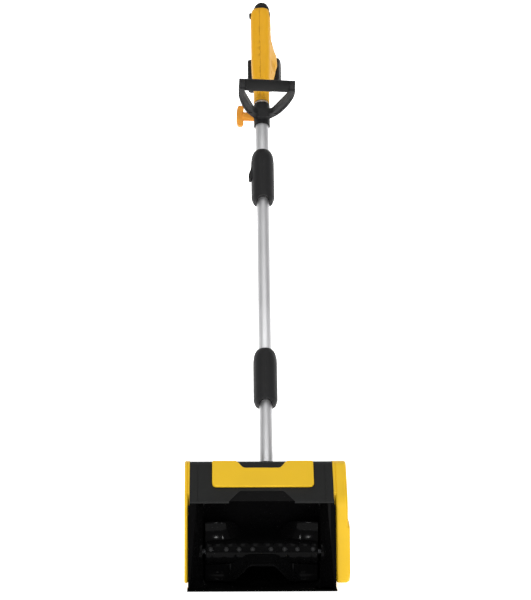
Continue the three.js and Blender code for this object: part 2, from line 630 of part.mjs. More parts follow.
const TRIGGER = { y: 17, t: 1052, half: 7.5 };
const LOCK_OFF = { y: -4, t: 1054 };
const HANDLE_SCREWS = [[6, 912], [8, 988], [-8, 1076]];

// The handle's outer form: a side profile, narrowed at the neck and the grip, and wide at the belly
// where the battery pack slides on.
function handleForm() {
  const { from, to, half, front } = GRIP;
  const seat = PACK.front - GAP;
  const side = [[-16.8, from], [16.8, from], [17.5, 884, 6], [seat, 904, 8], [seat, 979, 6], [24, 998, 14],
    [21, 1040], [21, 1074, 12], [8, to, 8], [-12, to, 10], [front, 1068, 14], [front, 902, 16],
    [-16.8, 878, 10]];
  const profile = alongX(side, -60, 60);
  const plan = [[-16.8, from], [16.8, from], [16.8, 880, 14], [half, 904], [half, 1066, 16], [13, to, 8],
    [-13, to, 8], [-half, 1066, 16], [-half, 904], [-16.8, 880, 14]];
  const slim = common(profile, alongY(plan, -80, 80));
  const bellySection = [[-half, -6], [half, -6], [33.5, 34, 6], [32.5, seat, 3], [-32.5, seat, 3],
    [-33.5, 34, 6]];
  const bellySpan = [[-6, 900], [PACK.front + 1, 896], [PACK.front + 1, 981], [24, 1000, 20], [-6, 1020]];
  const belly = common(alongZ(bellySection, 890, 1020), alongX(bellySpan, -50, 50));
  return common(join(slim, belly), profile);
}

function handleCavity() {
  const { half } = GRIP;
  const grip = block(-half + WALL, half - WALL, -17, 17.5, 905, 1066);
  const throat = block(-half + WALL, half - WALL, -10, 44, 908, 974);
  const belly = block(-27, 27, 28, 44, 908, 974);
  return join(grip, throat, belly);
}

// A screw's hole through the handle, and the well for its head.
const screwBore = (y, t, reach) => [rodX(1.9, -reach, reach, y, t, 12), rodX(3.7, 14.3, 60, y, t, 12)];

function handleShells() {
  const { y, t, half } = TRIGGER;
  const body = cut(
    handleForm(),
    handleCavity(),
    rodZ(UPPER_TUBE.radius + GAP, 820, 906, 0, 0, 24),
    block(-half - GAP, half + GAP, 10, 40, 998, t + 7),
    rodX(7.3, -40, 40, LOCK_OFF.y, LOCK_OFF.t, 20),
    rodX(2.3, -15, 15, y, t, 14),
    block(-13, 13, 40, 60, 920, 972),
    ...HANDLE_SCREWS.flatMap(([sy, st]) => screwBore(sy, st, 15)),
    capRoom(GAP),
  );
  const posts = HANDLE_SCREWS.map(([sy, st]) => {
    return cut(rodX(4.5, -19, 19, sy, st, 14), ...screwBore(sy, st, 40));
  });
  const pinPosts = [-1, 1].map((hand) => {
    const post = rodX(4.5, ...span(hand, half + GAP, 19), y, t, 14);
    return cut(post, rodX(2.3, -40, 40, y, t, 14));
  });
  return join(body, ...posts, ...pinPosts);
}

// The soft cap that wraps the top end of the handle.
function capRoom(grow = 0) {
  return block(-14 - grow, 14 + grow, -40, 12 + grow, GRIP.to - 5 - grow, GRIP.to + 20);
}

function endCap() {
  const side = [[-19, 1074.5], [11, 1074.5], [11, 1089, 4], [-8, 1089.5, 6], [-17, 1083, 6]];
  const form = alongX(side, -13.5, 13.5);
  return cut(form, block(-30, 30, -60, 60, 1000, GRIP.to - 5 + GAP));
}

const shells = handleShells();
const leftSide = block(-80, -GAP / 2, -80, 80, 800, 1120);
const rightSide = block(GAP / 2, 80, -80, 80, 800, 1120);
part(grip, 'handle_shell_left', common(shells, leftSide), YELLOW);
part(grip, 'handle_shell_right', common(shells, rightSide), YELLOW);
part(grip, 'handle_end_cap', endCap(), BLACK_RUBBER);
HANDLE_SCREWS.forEach(([y, t], i) => {
  const screw = join(rodX(1.6, -12, 16, y, t, 12), rodX(3.3, 14.6, 17, y, t, 12));
  part(grip, `handle_screw_${i + 1}`, screw, STEEL);
});

function trigger() {
  const { y, t, half } = TRIGGER;
  const side = [[y - 5, t + 5, 4], [y + 5, t + 5, 4], [y + 9, t - 14, 10], [y + 14, t - 46, 6],
    [y + 8, t - 49, 3], [y - 2, t - 30, 6], [y - 5, t - 12, 4]];
  return cut(alongX(side, -half, half), rodX(2.3, -20, 20, y, t, 14));
}

part(grip, 'trigger', trigger(), BLACK_MATTE);
part(grip, 'trigger_pin', rodX(2, -14.5, 14.5, TRIGGER.y, TRIGGER.t, 14), STEEL);
part(grip, 'lock_off_button', rodX(7, -24.5, 21.3, LOCK_OFF.y, LOCK_OFF.t, 20), BLACK_MATTE);
part(grip, 'switch_module', block(-12, 12, -14, 8, 1000, 1036), GREY_PLASTIC);

// ---------------------------------------------------------------- battery

function terminalBlock() {
  const base = block(-24, 24, 36, 43.5, 912, 970);
  const tongue = block(-12.5, 12.5, 43, PACK.front + 5, 922, 970);
  return join(base, tongue);
}

part(grip, 'terminal_block', terminalBlock(), BLACK_MATTE);

function batteryPack() {
  const { half, from, to, front, depth } = PACK;
  const back = front + depth;
  const section = [[-half + 3, front, 3], [half - 3, front, 3], [half, front + 12, 4], [half, back - 2, 7],
    [-half, back - 2, 7], [-half, front + 12, 4]];
  return cut(
    alongZ(section, from, to),
    block(-12.8, 12.8, front - 1, front + 5.4, from + 6.7, to + 5),
    block(-12.3, 12.3, back - 8, back + 9, from + 8.7, from + 24.3),
  );
}

part(grip, 'battery_pack', batteryPack(), BLACK_MATTE);
const latchSection = [[-12, PACK.front + PACK.depth - 4], [12, PACK.front + PACK.depth - 4],
  [12, PACK.front + PACK.depth, 2], [-12, PACK.front + PACK.depth, 2]];
part(grip, 'battery_latch', alongZ(latchSection, PACK.from + 9, PACK.from + 24), GREY_PLASTIC);

export default machine;
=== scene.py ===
"""Looks for the powered snow shovel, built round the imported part.

Outlines and other shapes are given in millimetres, in the frame of the piece that they belong to:
HEAD for the scoop and its covers, POLE for the tubes, D_HANDLE and GRIP for the two handles.
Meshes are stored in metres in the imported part's own frame.
"""

import json
import math

import bmesh
import bpy
from mathutils import Matrix, Vector


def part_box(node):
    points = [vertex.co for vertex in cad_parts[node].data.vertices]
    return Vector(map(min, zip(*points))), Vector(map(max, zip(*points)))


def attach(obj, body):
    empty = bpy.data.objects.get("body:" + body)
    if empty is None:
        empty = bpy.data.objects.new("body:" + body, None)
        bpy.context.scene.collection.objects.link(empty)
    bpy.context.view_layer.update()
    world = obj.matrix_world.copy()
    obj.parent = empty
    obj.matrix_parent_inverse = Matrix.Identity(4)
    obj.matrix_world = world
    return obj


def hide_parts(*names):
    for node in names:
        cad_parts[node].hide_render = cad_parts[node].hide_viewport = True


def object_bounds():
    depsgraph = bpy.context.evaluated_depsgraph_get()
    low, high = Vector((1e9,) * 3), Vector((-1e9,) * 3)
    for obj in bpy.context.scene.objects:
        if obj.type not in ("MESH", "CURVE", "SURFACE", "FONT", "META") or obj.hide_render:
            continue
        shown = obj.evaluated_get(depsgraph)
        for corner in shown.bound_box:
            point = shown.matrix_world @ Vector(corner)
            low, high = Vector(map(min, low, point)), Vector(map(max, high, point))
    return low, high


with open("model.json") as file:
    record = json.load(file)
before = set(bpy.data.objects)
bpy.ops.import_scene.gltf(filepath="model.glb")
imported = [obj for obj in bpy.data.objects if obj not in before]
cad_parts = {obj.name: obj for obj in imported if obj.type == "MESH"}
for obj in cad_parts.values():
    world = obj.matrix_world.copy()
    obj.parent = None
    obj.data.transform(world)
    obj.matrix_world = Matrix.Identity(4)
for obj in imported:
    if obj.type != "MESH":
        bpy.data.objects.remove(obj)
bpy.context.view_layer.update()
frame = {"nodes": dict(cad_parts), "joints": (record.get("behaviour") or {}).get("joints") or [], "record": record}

MM = 0.001
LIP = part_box("scoop_housing")[0].y - 2 * MM   # where the scoop's wings end in front
JOINTS = {joint["name"]: joint for joint in frame["joints"]}

# ---------------------------------------------------------------- pole frame

# The pole's own frame: z runs up the pole, -y faces the front and x is the row's x.
POLE_UP = Vector(JOINTS["pole_slide"]["axis"]).normalized()
SWIVEL = Vector(JOINTS["d_handle_swivel"]["pos_m"])
SWIVEL_T = 799 * MM                           # how far up the pole the D-handle's swivel is
POLE_BACK = POLE_UP.cross(Vector((1, 0, 0))).normalized()
POLE_TURN = Matrix(((1, 0, 0), POLE_BACK, POLE_UP)).transposed().to_4x4()
POLE = Matrix.Translation(SWIVEL - POLE_UP * SWIVEL_T) @ POLE_TURN
D_HANDLE_TURN, HANDLE_TURN = 4.2, -7          # degrees about the pole


def turned_on_pole(degrees):
    """The pole's frame, turned about the pole."""
    return POLE @ Matrix.Rotation(math.radians(degrees), 4, "Z")


HEAD = Matrix.Translation((0, LIP, 0))        # the head's frame: y is 0 at the lip
D_HANDLE = turned_on_pole(D_HANDLE_TURN)
GRIP = turned_on_pole(HANDLE_TURN)

# ---------------------------------------------------------------- camera


def make_camera():
    data = bpy.data.cameras.new("camera")
    data.lens = 132
    data.sensor_width = 36
    camera = bpy.data.objects.new("camera", data)
    bpy.context.collection.objects.link(camera)
    camera.location = (-0.100, LIP - 4.160, 0.620)
    camera.rotation_euler = (math.radians(90 - 0.94), 0, math.radians(-1.46))
    data.clip_start, data.clip_end = 0.1, 100
    bpy.context.scene.camera = camera


make_camera()

# ---------------------------------------------------------------- mesh building


def arc_corner(before, corner, after, radius, steps):
    """Points that round a corner of an outline."""
    corner = Vector(corner)
    to_before, to_after = Vector(before) - corner, Vector(after) - corner
    reach = min(radius, to_before.length * 0.48, to_after.length * 0.48)
    start, end = corner + to_before.normalized() * reach, corner + to_after.normalized() * reach
    points = []
    for i in range(steps + 1):
        s = i / steps
        points.append(start * (1 - s) ** 2 + corner * 2 * s * (1 - s) + end * s ** 2)
    return [tuple(p) for p in points]


def outline(corners, steps=6):
    """A closed outline in mm from corners (u, v) or (u, v, radius), as points in metres."""
    points = []
    count = len(corners)
    for i, corner in enumerate(corners):
        radius = corner[2] if len(corner) > 2 else 0
        if radius:
            before, after = corners[i - 1][:2], corners[(i + 1) % count][:2]
            points += arc_corner(before, corner[:2], after, radius, steps)
        else:
            points.append(tuple(corner[:2]))
    return [(u * MM, v * MM) for u, v in points]


def mesh_object(name, vertices, faces, place=None):
    mesh = bpy.data.meshes.new(name)
    mesh.from_pydata([tuple(v) for v in vertices], [], faces)
    made = bmesh.new()
    made.from_mesh(mesh)
    bmesh.ops.remove_doubles(made, verts=made.verts, dist=1e-7)
    bmesh.ops.recalc_face_normals(made, faces=made.faces)
    if place is not None:
        made.transform(place)
    made.to_mesh(mesh)
    made.free()
    for polygon in mesh.polygons:
        polygon.use_smooth = True
    obj = bpy.data.objects.new(name, mesh)
    bpy.context.collection.objects.link(obj)
    return obj


AXES = {
    "x": lambda u, v, w: (w, u, v),           # outline in (y, z), run along x
    "y": lambda u, v, w: (u, w, v),           # outline in (x, z), run along y
    "z": lambda u, v, w: (u, v, w),           # outline in (x, y), run along z
}


def prism(name, corners, low, high, axis, place=None, steps=6):
    """An outline in mm, run along an axis from low to high in mm."""
    points = outline(corners, steps)
    count = len(points)
    put = AXES[axis]
    vertices = [put(u, v, low * MM) for u, v in points] + [put(u, v, high * MM) for u, v in points]
    faces = [tuple(range(count)), tuple(range(2 * count - 1, count - 1, -1))]
    faces += [(i, (i + 1) % count, (i + 1) % count + count, i + count) for i in range(count)]
    return mesh_object(name, vertices, faces, place)


def lathe(name, profile, place=None, segments=72):
    """A profile of (radius, height) in mm turned about z. It starts and ends on the axis, or closes."""
    closed = profile[0] == profile[-1]
    rings = profile[:-1] if closed else profile
    vertices, faces = [], []
    for radius, height in rings:
        for k in range(segments):
            angle = 2 * math.pi * k / segments
            reach = max(radius, 1e-4) * MM
            vertices.append((reach * math.cos(angle), reach * math.sin(angle), height * MM))
    spans = len(rings) if closed else len(rings) - 1
    for i in range(spans):
        j = (i + 1) % len(rings)
        for k in range(segments):
            n = (k + 1) % segments
            faces.append((i * segments + k, i * segments + n, j * segments + n, j * segments + k))
    if not closed:
        faces.append(tuple(range(segments)))
        faces.append(tuple(range(len(vertices) - 1, len(vertices) - 1 - segments, -1)))
    return mesh_object(name, vertices, faces, place)


def loft(name, sections, place=None):
    """A closed skin over sections, each a list of the same number of points in metres."""
    count = len(sections[0])
    vertices = [p for section in sections for p in section]
    faces = []
    for i in range(len(sections) - 1):
        for k in range(count):
            n = (k + 1) % count
            faces.append((i * count + k, i * count + n, (i + 1) * count + n, (i + 1) * count + k))
    faces.append(tuple(range(count)))
    faces.append(tuple(range(len(vertices) - 1, len(vertices) - 1 - count, -1)))
    return mesh_object(name, vertices, faces, place)


def baked(obj):
    """Applies an object's modifiers to its mesh."""
    graph = bpy.context.evaluated_depsgraph_get()
    graph.update()
    mesh = bpy.data.meshes.new_from_object(obj.evaluated_get(graph))
    obj.modifiers.clear()
    obj.data = mesh
    return obj


def boolean(obj, operation, *tools):
    """Joins or cuts closed forms, in millimetres about the form's own middle, where the solver is surest."""
    middle = sum((vertex.co for vertex in obj.data.vertices), Vector()) / len(obj.data.vertices)
    enlarge = Matrix.Scale(1 / MM, 4) @ Matrix.Translation(-middle)
    obj.data.transform(enlarge)
    for tool in tools:
        tool.data.transform(enlarge)
        step = obj.modifiers.new("boolean", "BOOLEAN")
        step.operation, step.solver, step.object = operation, "EXACT", tool
        baked(obj)
        bpy.data.objects.remove(tool)
    obj.data.transform(enlarge.inverted())
    return obj


def carve(obj, *tools):
    return boolean(obj, "DIFFERENCE", *tools)


def weld_on(obj, *tools):
    return boolean(obj, "UNION", *tools)


def keep_inside(obj, *tools):
    return boolean(obj, "INTERSECT", *tools)


def soften(obj, width=1.0, segments=3, angle=30):
    """Rounds an object's edges and shades its faces smooth."""
    weld = obj.modifiers.new("weld", "WELD")
    weld.merge_threshold = 1e-5
    bevel = obj.modifiers.new("bevel", "BEVEL")
    bevel.width, bevel.segments = width * MM, segments
    bevel.limit_method, bevel.angle_limit = "ANGLE", math.radians(angle)
    bevel.harden_normals = False
    for polygon in obj.data.polygons:
        polygon.use_smooth = True
    normals = obj.modifiers.new("normals", "WEIGHTED_NORMAL")
    normals.keep_sharp = False
    normals.weight = 100
    return obj


# ---------------------------------------------------------------- materials


def noise(nodes, links, scale, detail, vector, stretch=(1, 1, 1)):
    mapping = nodes.new("ShaderNodeMapping")
    mapping.inputs["Scale"].default_value = stretch
    texture = nodes.new("ShaderNodeTexNoise")
    texture.inputs["Scale"].default_value = scale
    texture.inputs["Detail"].default_value = detail
    links.new(vector, mapping.inputs["Vector"])
    links.new(mapping.outputs["Vector"], texture.inputs["Vector"])
    return texture.outputs["Fac"]


def remap(nodes, links, value, low, high, from_low=0.3, from_high=0.7):
    node = nodes.new("ShaderNodeMapRange")
    node.inputs["From Min"].default_value = from_low
    node.inputs["From Max"].default_value = from_high
    node.inputs["To Min"].default_value = low
    node.inputs["To Max"].default_value = high
    links.new(value, node.inputs["Value"])
    return node.outputs["Result"]


def blend_colours(nodes, links, factor, first, second):
    node = nodes.new("ShaderNodeMix")
    node.data_type = "RGBA"
    links.new(factor, node.inputs["Factor"])
    for socket, value in ((node.inputs[6], first), (node.inputs[7], second)):
        if isinstance(value, tuple):
            socket.default_value = (*value, 1)
        else:
            links.new(value, socket)
    return node.outputs[2]


def surface(name, colour, roughness, metallic=0.0, mottle=0.06, grain=900, grain_depth=0.06, spread=0.06,
            scuff=0.0, brushed=(1, 1, 1), specular=0.5):
    """A moulded, rubber or metal surface with mottled colour, uneven gloss, a fine grain and light scuffs."""
    material = bpy.data.materials.new(name)
    material.use_nodes = True
    nodes, links = material.node_tree.nodes, material.node_tree.links
    shader = nodes["Principled BSDF"]
    shader.inputs["Metallic"].default_value = metallic
    shader.inputs["Specular IOR Level"].default_value = specular
    where = nodes.new("ShaderNodeTexCoord").outputs["Object"]

    broad = noise(nodes, links, 14, 4, where)
    dark = tuple(c * (1 - mottle) for c in colour)
    light = tuple(min(1, c * (1 + mottle)) for c in colour)
    base = blend_colours(nodes, links, remap(nodes, links, broad, 0, 1), dark, light)
    fine = noise(nodes, links, grain, 3, where, brushed)
    if scuff > 0:
        streaks = noise(nodes, links, 130, 5, where, (1, 6, 1))
        marks = remap(nodes, links, streaks, 0, scuff, 0.62, 0.75)
        base = blend_colours(nodes, links, marks, base, tuple(min(1, c * 1.6 + 0.03) for c in colour))
    links.new(base, shader.inputs["Base Color"])

    gloss = noise(nodes, links, 40, 5, where, brushed)
    low, high = max(0.02, roughness - spread), min(1, roughness + spread)
    links.new(remap(nodes, links, gloss, low, high), shader.inputs["Roughness"])

    bump = nodes.new("ShaderNodeBump")
    bump.inputs["Strength"].default_value = grain_depth
    bump.inputs["Distance"].default_value = 0.0006
    links.new(fine, bump.inputs["Height"])
    links.new(bump.outputs["Normal"], shader.inputs["Normal"])
    return material


YELLOW = surface("yellow_plastic", (0.80, 0.49, 0.011), 0.45, specular=0.3,
                 mottle=0.03, grain=1500, grain_depth=0.05, scuff=0.04)
ORANGE = surface("orange_plastic", (0.74, 0.30, 0.03), 0.5, specular=0.25,
                 mottle=0.04, grain=1200, grain_depth=0.06, scuff=0.04)
# a darker, more orange copy of the yellow plastic for the handle shells: painted shade
HANDLE_YELLOW = surface("handle_yellow", (0.74, 0.37, 0.012), 0.5, specular=0.2,
                        mottle=0.03, grain=1500, grain_depth=0.06, scuff=0.04)
SCOOP_BLACK = surface("scoop_plastic", (0.0024, 0.0024, 0.0025), 0.13, specular=0.05,
                      mottle=0.15, grain=700, grain_depth=0.02, spread=0.04, scuff=0.02)
HOOD_BLACK = surface("hood_plastic", (0.014, 0.0145, 0.0142), 0.6, specular=0.15,
                     mottle=0.08, grain=1100, grain_depth=0.35, scuff=0.1)
BLACK = surface("black_plastic", (0.0125, 0.0125, 0.013), 0.5, specular=0.2,
                mottle=0.1, grain=1200, grain_depth=0.25, scuff=0.1)
RUBBER = surface("black_rubber", (0.011, 0.011, 0.011), 0.75, specular=0.2,
                 mottle=0.15, grain=1600, grain_depth=0.4)
GREY = surface("grey_plastic", (0.06, 0.063, 0.068), 0.5, mottle=0.08, grain=1000, grain_depth=0.25)
ALUMINIUM = surface("tube_aluminium", (0.64, 0.64, 0.65), 0.56, metallic=1.0,
                    mottle=0.03, grain=600, grain_depth=0.06, brushed=(1, 1, 0.02), spread=0.05)
STEEL = surface("zinc_steel", (0.52, 0.53, 0.56), 0.32, metallic=1.0,
                mottle=0.08, grain=500, grain_depth=0.1, brushed=(1, 1, 0.1))
MOTOR_STEEL = surface("motor_steel", (0.035, 0.036, 0.04), 0.4, metallic=0.4,
                      mottle=0.1, grain=900, grain_depth=0.1)
BOARD = surface("circuit_board", (0.012, 0.10, 0.035), 0.45, mottle=0.12, grain=300, grain_depth=0.3)

LOOK_OF_SLOT = {
    "scoop_plastic": SCOOP_BLACK, "black_plastic": BLACK, "yellow_plastic": YELLOW, "orange_plastic": ORANGE,
    "grey_plastic": GREY, "black_rubber": RUBBER, "tube_aluminium": ALUMINIUM, "steel": STEEL,
    "motor_steel": MOTOR_STEEL, "circuit_board": BOARD,
}


def dress(obj, material):
    obj.data.materials.clear()
    obj.data.materials.append(material)
    return obj


def piece(obj, material, body, *nodes):
    """Finishes a piece: its material, the body that it rides on and the CAD nodes that it stands for."""
    dress(obj, material)
    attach(obj, body)
    if nodes:
        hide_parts(*nodes)
    return obj


def dress_cad_nodes():
    """Gives every CAD node its material and softened edges. Pieces that follow may replace some of them."""
    for entry in frame["record"]["subparts"]:
        node = frame["nodes"][entry["node"]]
        dress(node, LOOK_OF_SLOT[entry["material_slot"]])
        soften(node, 0.5, 2)


dress_cad_nodes()

# ---------------------------------------------------------------- pieces on the pole


def extent(node, place):
    """A CAD node's lowest and highest corner in mm, in another frame."""
    back = place.inverted()
    points = [back @ vertex.co for vertex in frame["nodes"][node].data.vertices]
    low = Vector(min(p[i] for p in points) / MM for i in range(3))
    high = Vector(max(p[i] for p in points) / MM for i in range(3))
    return low, high


def block(name, low, high, place=None):
    corners = [(low[0], low[1]), (high[0], low[1]), (high[0], high[1]), (low[0], high[1])]
    return prism(name, corners, low[2], high[2], "z", place)


def rod(name, radius, start, end, place, segments=40):
    """A round rod between two points in mm, in a frame."""
    start, end = Vector(start), Vector(end)
    along = end - start
    turn = along.to_track_quat("Z", "Y").to_matrix().to_4x4()
    local = Matrix.Translation(start * MM) @ turn
    profile = [(0, 0), (radius, 0), (radius, along.length), (0, along.length)]
    return lathe(name, profile, place @ local, segments)


def make_tube(node, body):
    low, high = extent(node, POLE)
    radius = (high.x - low.x) / 2
    bore = radius - 1.0
    profile = [(bore, low.z), (radius - 0.3, low.z), (radius, low.z + 0.3), (radius, high.z - 0.3),
               (radius - 0.3, high.z), (bore, high.z), (bore, low.z)]
    piece(lathe(node + "_skin", profile, POLE, 96), ALUMINIUM, body, node)


def coupler_form(name, low, high, radius, bore):
    """A sleeve with a rounded top, and an arched notch round the tube at the foot of its front and back."""
    profile = [(bore, low), (18.5, low), (20.5, low + 1.5), (radius - 0.6, low + 10), (radius, low + 14),
               (radius, high - 28), (radius - 0.9, high - 17), (radius - 2.8, high - 9),
               (radius - 5.4, high - 3.5), (radius - 8, high - 0.6), (bore + 1, high), (bore, high),
               (bore, low)]
    form = lathe(name, profile, POLE, 96)
    arch = [(-14.5, low - 3), (14.5, low - 3), (13, low + 3, 4), (7, low + 9, 5), (-7, low + 9, 5),
            (-13, low + 3, 4)]
    form = carve(form, prism("arch", arch, -60, 60, "y", POLE))
    groove = [(-0.7, low + 22), (0.7, low + 22), (0.7, high - 26), (-0.7, high - 26)]
    return carve(form, prism("groove", groove, -60, 1.2 - radius, "y", POLE))


def make_coupler(prefix, body, tools=()):
    low, high = extent(f"{prefix}_front", POLE)
    for half, sign in (("front", -1), ("back", 1)):
        name = f"{prefix}_{half}"
        form = coupler_form(name + "_skin", low.z, high.z - 7, high.x, 13.4)
        keep_low, keep_high = sorted((sign * 0.2, sign * 60))
        form = keep_inside(form, block("half", (-60, keep_low, low.z - 9), (60, keep_high, high.z + 9), POLE))
        for tool in tools:
            form = carve(form, tool())
        piece(soften(form, 0.9, 3), BLACK, body, name)


LEVER_LOW, LEVER_HIGH = extent("cam_lever", POLE)
PIN_LOW, PIN_HIGH = extent("lever_pin", POLE)
PIN_X, PIN_T = (PIN_LOW.x + PIN_HIGH.x) / 2, (PIN_LOW.z + PIN_HIGH.z) / 2


def lever_pocket():
    corners = [(-50, LEVER_LOW.z - 4), (-15.5, LEVER_LOW.z - 4), (-15.5, PIN_T + 6.5), (-50, PIN_T + 6.5)]
    return prism("pocket", corners, LEVER_LOW.y - 0.4, LEVER_HIGH.y + 0.4, "y", POLE)


def upper_bore():
    upper_low = extent("upper_tube", POLE)[0].z
    return rod("bore", 14.3, (0, 0, upper_low - 0.4), (0, 0, upper_low + 200), POLE)


def make_lever():
    x, t, foot = PIN_X, PIN_T, LEVER_LOW.z + 1
    side = [(x + 2.6, t + 3, 2), (x + 2.6, foot + 4, 2), (x - 7, foot - 1, 2), (x - 10.5, foot + 2, 3),
            (x - 10, foot + 12, 6), (x - 5, foot + 24, 8), (x - 4.5, t + 3, 3)]
    form = prism("cam_lever_skin", side, LEVER_LOW.y, LEVER_HIGH.y, "y", POLE)
    for i in range(4):
        rib_t = foot + 4 + i * 3.2
        rib_x = x - 11.2 + i * 0.4
        form = carve(form, rod("rib", 0.7, (rib_x, -20, rib_t), (rib_x, 20, rib_t), POLE, 16))
    piece(soften(form, 0.8, 3), BLACK, "lock_lever", "cam_lever")


def make_pole():
    make_tube("lower_tube", "head")
    make_tube("middle_tube", "head")
    make_tube("upper_tube", "upper_pole")
    make_coupler("lower_coupler", "head")
    make_coupler("upper_coupler", "upper_pole", (lever_pocket, upper_bore))
    make_lever()


make_pole()

# ---------------------------------------------------------------- D-handle


def make_d_handle():
    liner_low, liner_high = extent("d_handle_liner", D_HANDLE)
    frame_low, frame_high = extent("d_handle_frame", D_HANDLE)
    grip_low, grip_high = extent("d_handle_grip", D_HANDLE)
    bar = (grip_high.y - grip_low.y) / 2
    reach, t = (grip_high.y + grip_low.y) / 2, (grip_high.z + grip_low.z) / 2
    half = frame_high.x
    arms = t - 8                              # the arms' middle, lower than the bar's

    outer = [(-half, reach - 6, 3), (half, reach - 6, 3), (half, -96, 20), (50, -60, 30), (34, -25, 22),
             (15, -4), (-15, -4), (-34, -25, 22), (-50, -60, 30), (-half, -96, 20)]
    window = [(-48.5, reach + bar, 4), (48.5, reach + bar, 4), (18, -27, 7), (-18, -27, 7)]
    form = prism("d_handle_frame_skin", outer, arms - 7, arms + 7, "z", D_HANDLE, 10)
    form = carve(form, prism("window", window, t - 40, t + 40, "z", D_HANDLE, 8))
    for hand in (-1, 1):
        recess = [(hand * 54.5, -94, 3), (hand * 50, -88, 3), (hand * 22.5, -27, 5), (hand * 29, -25, 4),
                  (hand * 46, -60, 14)]
        form = carve(form, prism("recess", recess, arms - 9, arms - 5.6, "z", D_HANDLE, 6))
    form = baked(soften(form, 3.4, 5))
    collar = [(0, frame_low.z), (16.4, frame_low.z), (17.2, frame_low.z + 1.2), (17.2, frame_high.z - 1.2),
              (16.4, frame_high.z), (0, frame_high.z)]
    form = weld_on(form, lathe("collar", collar, D_HANDLE))
    bolt_low, bolt_high = extent("clamp_bolt", D_HANDLE)
    clamp_y, clamp_t = (bolt_low.y + bolt_high.y) / 2, (bolt_low.z + bolt_high.z) / 2
    lug = block("lug", (-10, 8, clamp_t - 9), (10, 32, clamp_t + 9), D_HANDLE)
    form = weld_on(form, soften(lug, 3, 4))
    web = [(-13, -30, 3), (13, -30, 3), (9, -8), (-9, -8)]
    form = weld_on(form, prism("web", web, frame_low.z + 9, arms, "z", D_HANDLE))
    form = carve(form, block("room", (-47, reach - 16, t - 16), (47, reach + 15, t + 16), D_HANDLE))
    ends = []
    for hand in (-1, 1):
        ends.append(rod("end", bar, (hand * 47.2, reach, t), (hand * (half - 0.6), reach, t), D_HANDLE))
    form = weld_on(form, *ends, rod("core", bar - 3, (-50, reach, t), (50, reach, t), D_HANDLE))
    form = carve(form, rod("bore", 15.3, (0, 0, 700), (0, 0, 900), D_HANDLE, 72))
    form = carve(form, block("split", (-2, 5, frame_low.z - 3), (2, 60, frame_high.z + 3), D_HANDLE))
    form = carve(form, rod("hole", 3.3, (-60, clamp_y, clamp_t), (60, clamp_y, clamp_t), D_HANDLE, 24))
    for hand in (-1, 1):
        x, hole_t = hand * 8, frame_low.z + 6
        form = carve(form, rod("hole", 1.6, (x, -40, hole_t), (x, -14.5, hole_t), D_HANDLE, 20))
    piece(soften(form, 0.5, 2, 40), BLACK, "d_handle", "d_handle_frame")

    sleeve = [(bar - 2.6, -46.6), (bar - 0.8, -46.6), (bar, -45.6), (bar, 45.6), (bar - 0.8, 46.6),
              (bar - 2.6, 46.6), (bar - 2.6, -46.6)]
    lay = D_HANDLE @ Matrix.Translation(Vector((0, reach, t)) * MM) @ Matrix.Rotation(math.pi / 2, 4, "Y")
    piece(lathe("d_handle_grip_skin", sleeve, lay), RUBBER, "d_handle", "d_handle_grip")


def make_knob():
    low, high = extent("clamp_knob", D_HANDLE)
    y, t = (low.y + high.y) / 2, (low.z + high.z) / 2
    lay = D_HANDLE @ Matrix.Translation(Vector((0, y, t)) * MM) @ Matrix.Rotation(math.radians(12), 4, "X")
    tip = low.x
    wing = [(tip, -14, 8), (tip + 3, -23, 6), (tip + 15, -22.5, 6), (tip + 14.5, -10, 4), (tip + 14.5, 10, 4),
            (tip + 15, 22.5, 6), (tip + 3, 23, 6), (tip, 14, 8)]
    form = prism("clamp_knob_skin", wing, -4.8, 4.8, "y", lay, 8)
    hub = [(0, -40), (8.5, -40), (9.5, -38), (9.5, -12), (8.8, -10.4), (0, -10.4)]
    form = weld_on(form, lathe("hub", hub, lay @ Matrix.Rotation(math.pi / 2, 4, "Y")))
    for k in range(10):
        angle = 2 * math.pi * (k + 0.5) / 10
        at = (10 * math.cos(angle), 10 * math.sin(angle))
        form = carve(form, rod("flute", 1.1, (-36, *at), (-9, *at), lay, 16))
    form = carve(form, rod("hole", 3.3, (-36, 0, 0), (0, 0, 0), lay, 24))
    piece(soften(form, 2.2, 5, 40), ORANGE, "knob", "clamp_knob")


make_d_handle()
make_knob()

# ---------------------------------------------------------------- rear handle


def smooth(share):
    share = min(1, max(0, share))
    return share * share * (3 - 2 * share)


def between(stations, t):
    """Eases between the stations (t, values...) of a form."""
    for (t0, *low), (t1, *high) in zip(stations, stations[1:]):
        if t <= t1:
            s = smooth((t - t0) / (t1 - t0))
            return [a + (b - a) * s for a, b in zip(low, high)]
    return list(stations[-1][1:])


# t, half width in front, half width behind, front y, back y, squareness of the section
HANDLE_STATIONS = [
    (832, 16.8, 16.8, -16.8, 16.8, 2.0),
    (876, 17.0, 17.0, -17.0, 17.4, 2.0),
    (892, 19.6, 20.0, -19.5, 24.0, 2.6),
    (903, 20.8, 24.0, -20.8, 46.0, 3.2),
    (912, 21.2, 25.5, -21.0, 50.0, 3.8),
    (932, 21.6, 29.5, -21.0, 50.0, 4.0),
    (950, 21.6, 34.5, -21.0, 50.0, 4.2),
    (970, 21.6, 33.5, -21.0, 50.0, 4.2),
    (984, 21.6, 28.0, -21.0, 42.0, 3.6),
    (1000, 21.6, 22.5, -21.0, 25.0, 3.0),
    (1030, 21.6, 21.4, -21.0, 21.6, 3.0),
    (1054, 21.4, 20.4, -20.6, 20.8, 2.8),
    (1069, 18.2, 17.0, -17.4, 17.8, 2.5),
    (1078, 13.4, 13.0, -14.0, 14.0, 2.3),
    (1081, 7.5, 7.5, -9.5, 9.0, 2.2),
]
CAP_FROM = 1065                                # where the dark end cap begins


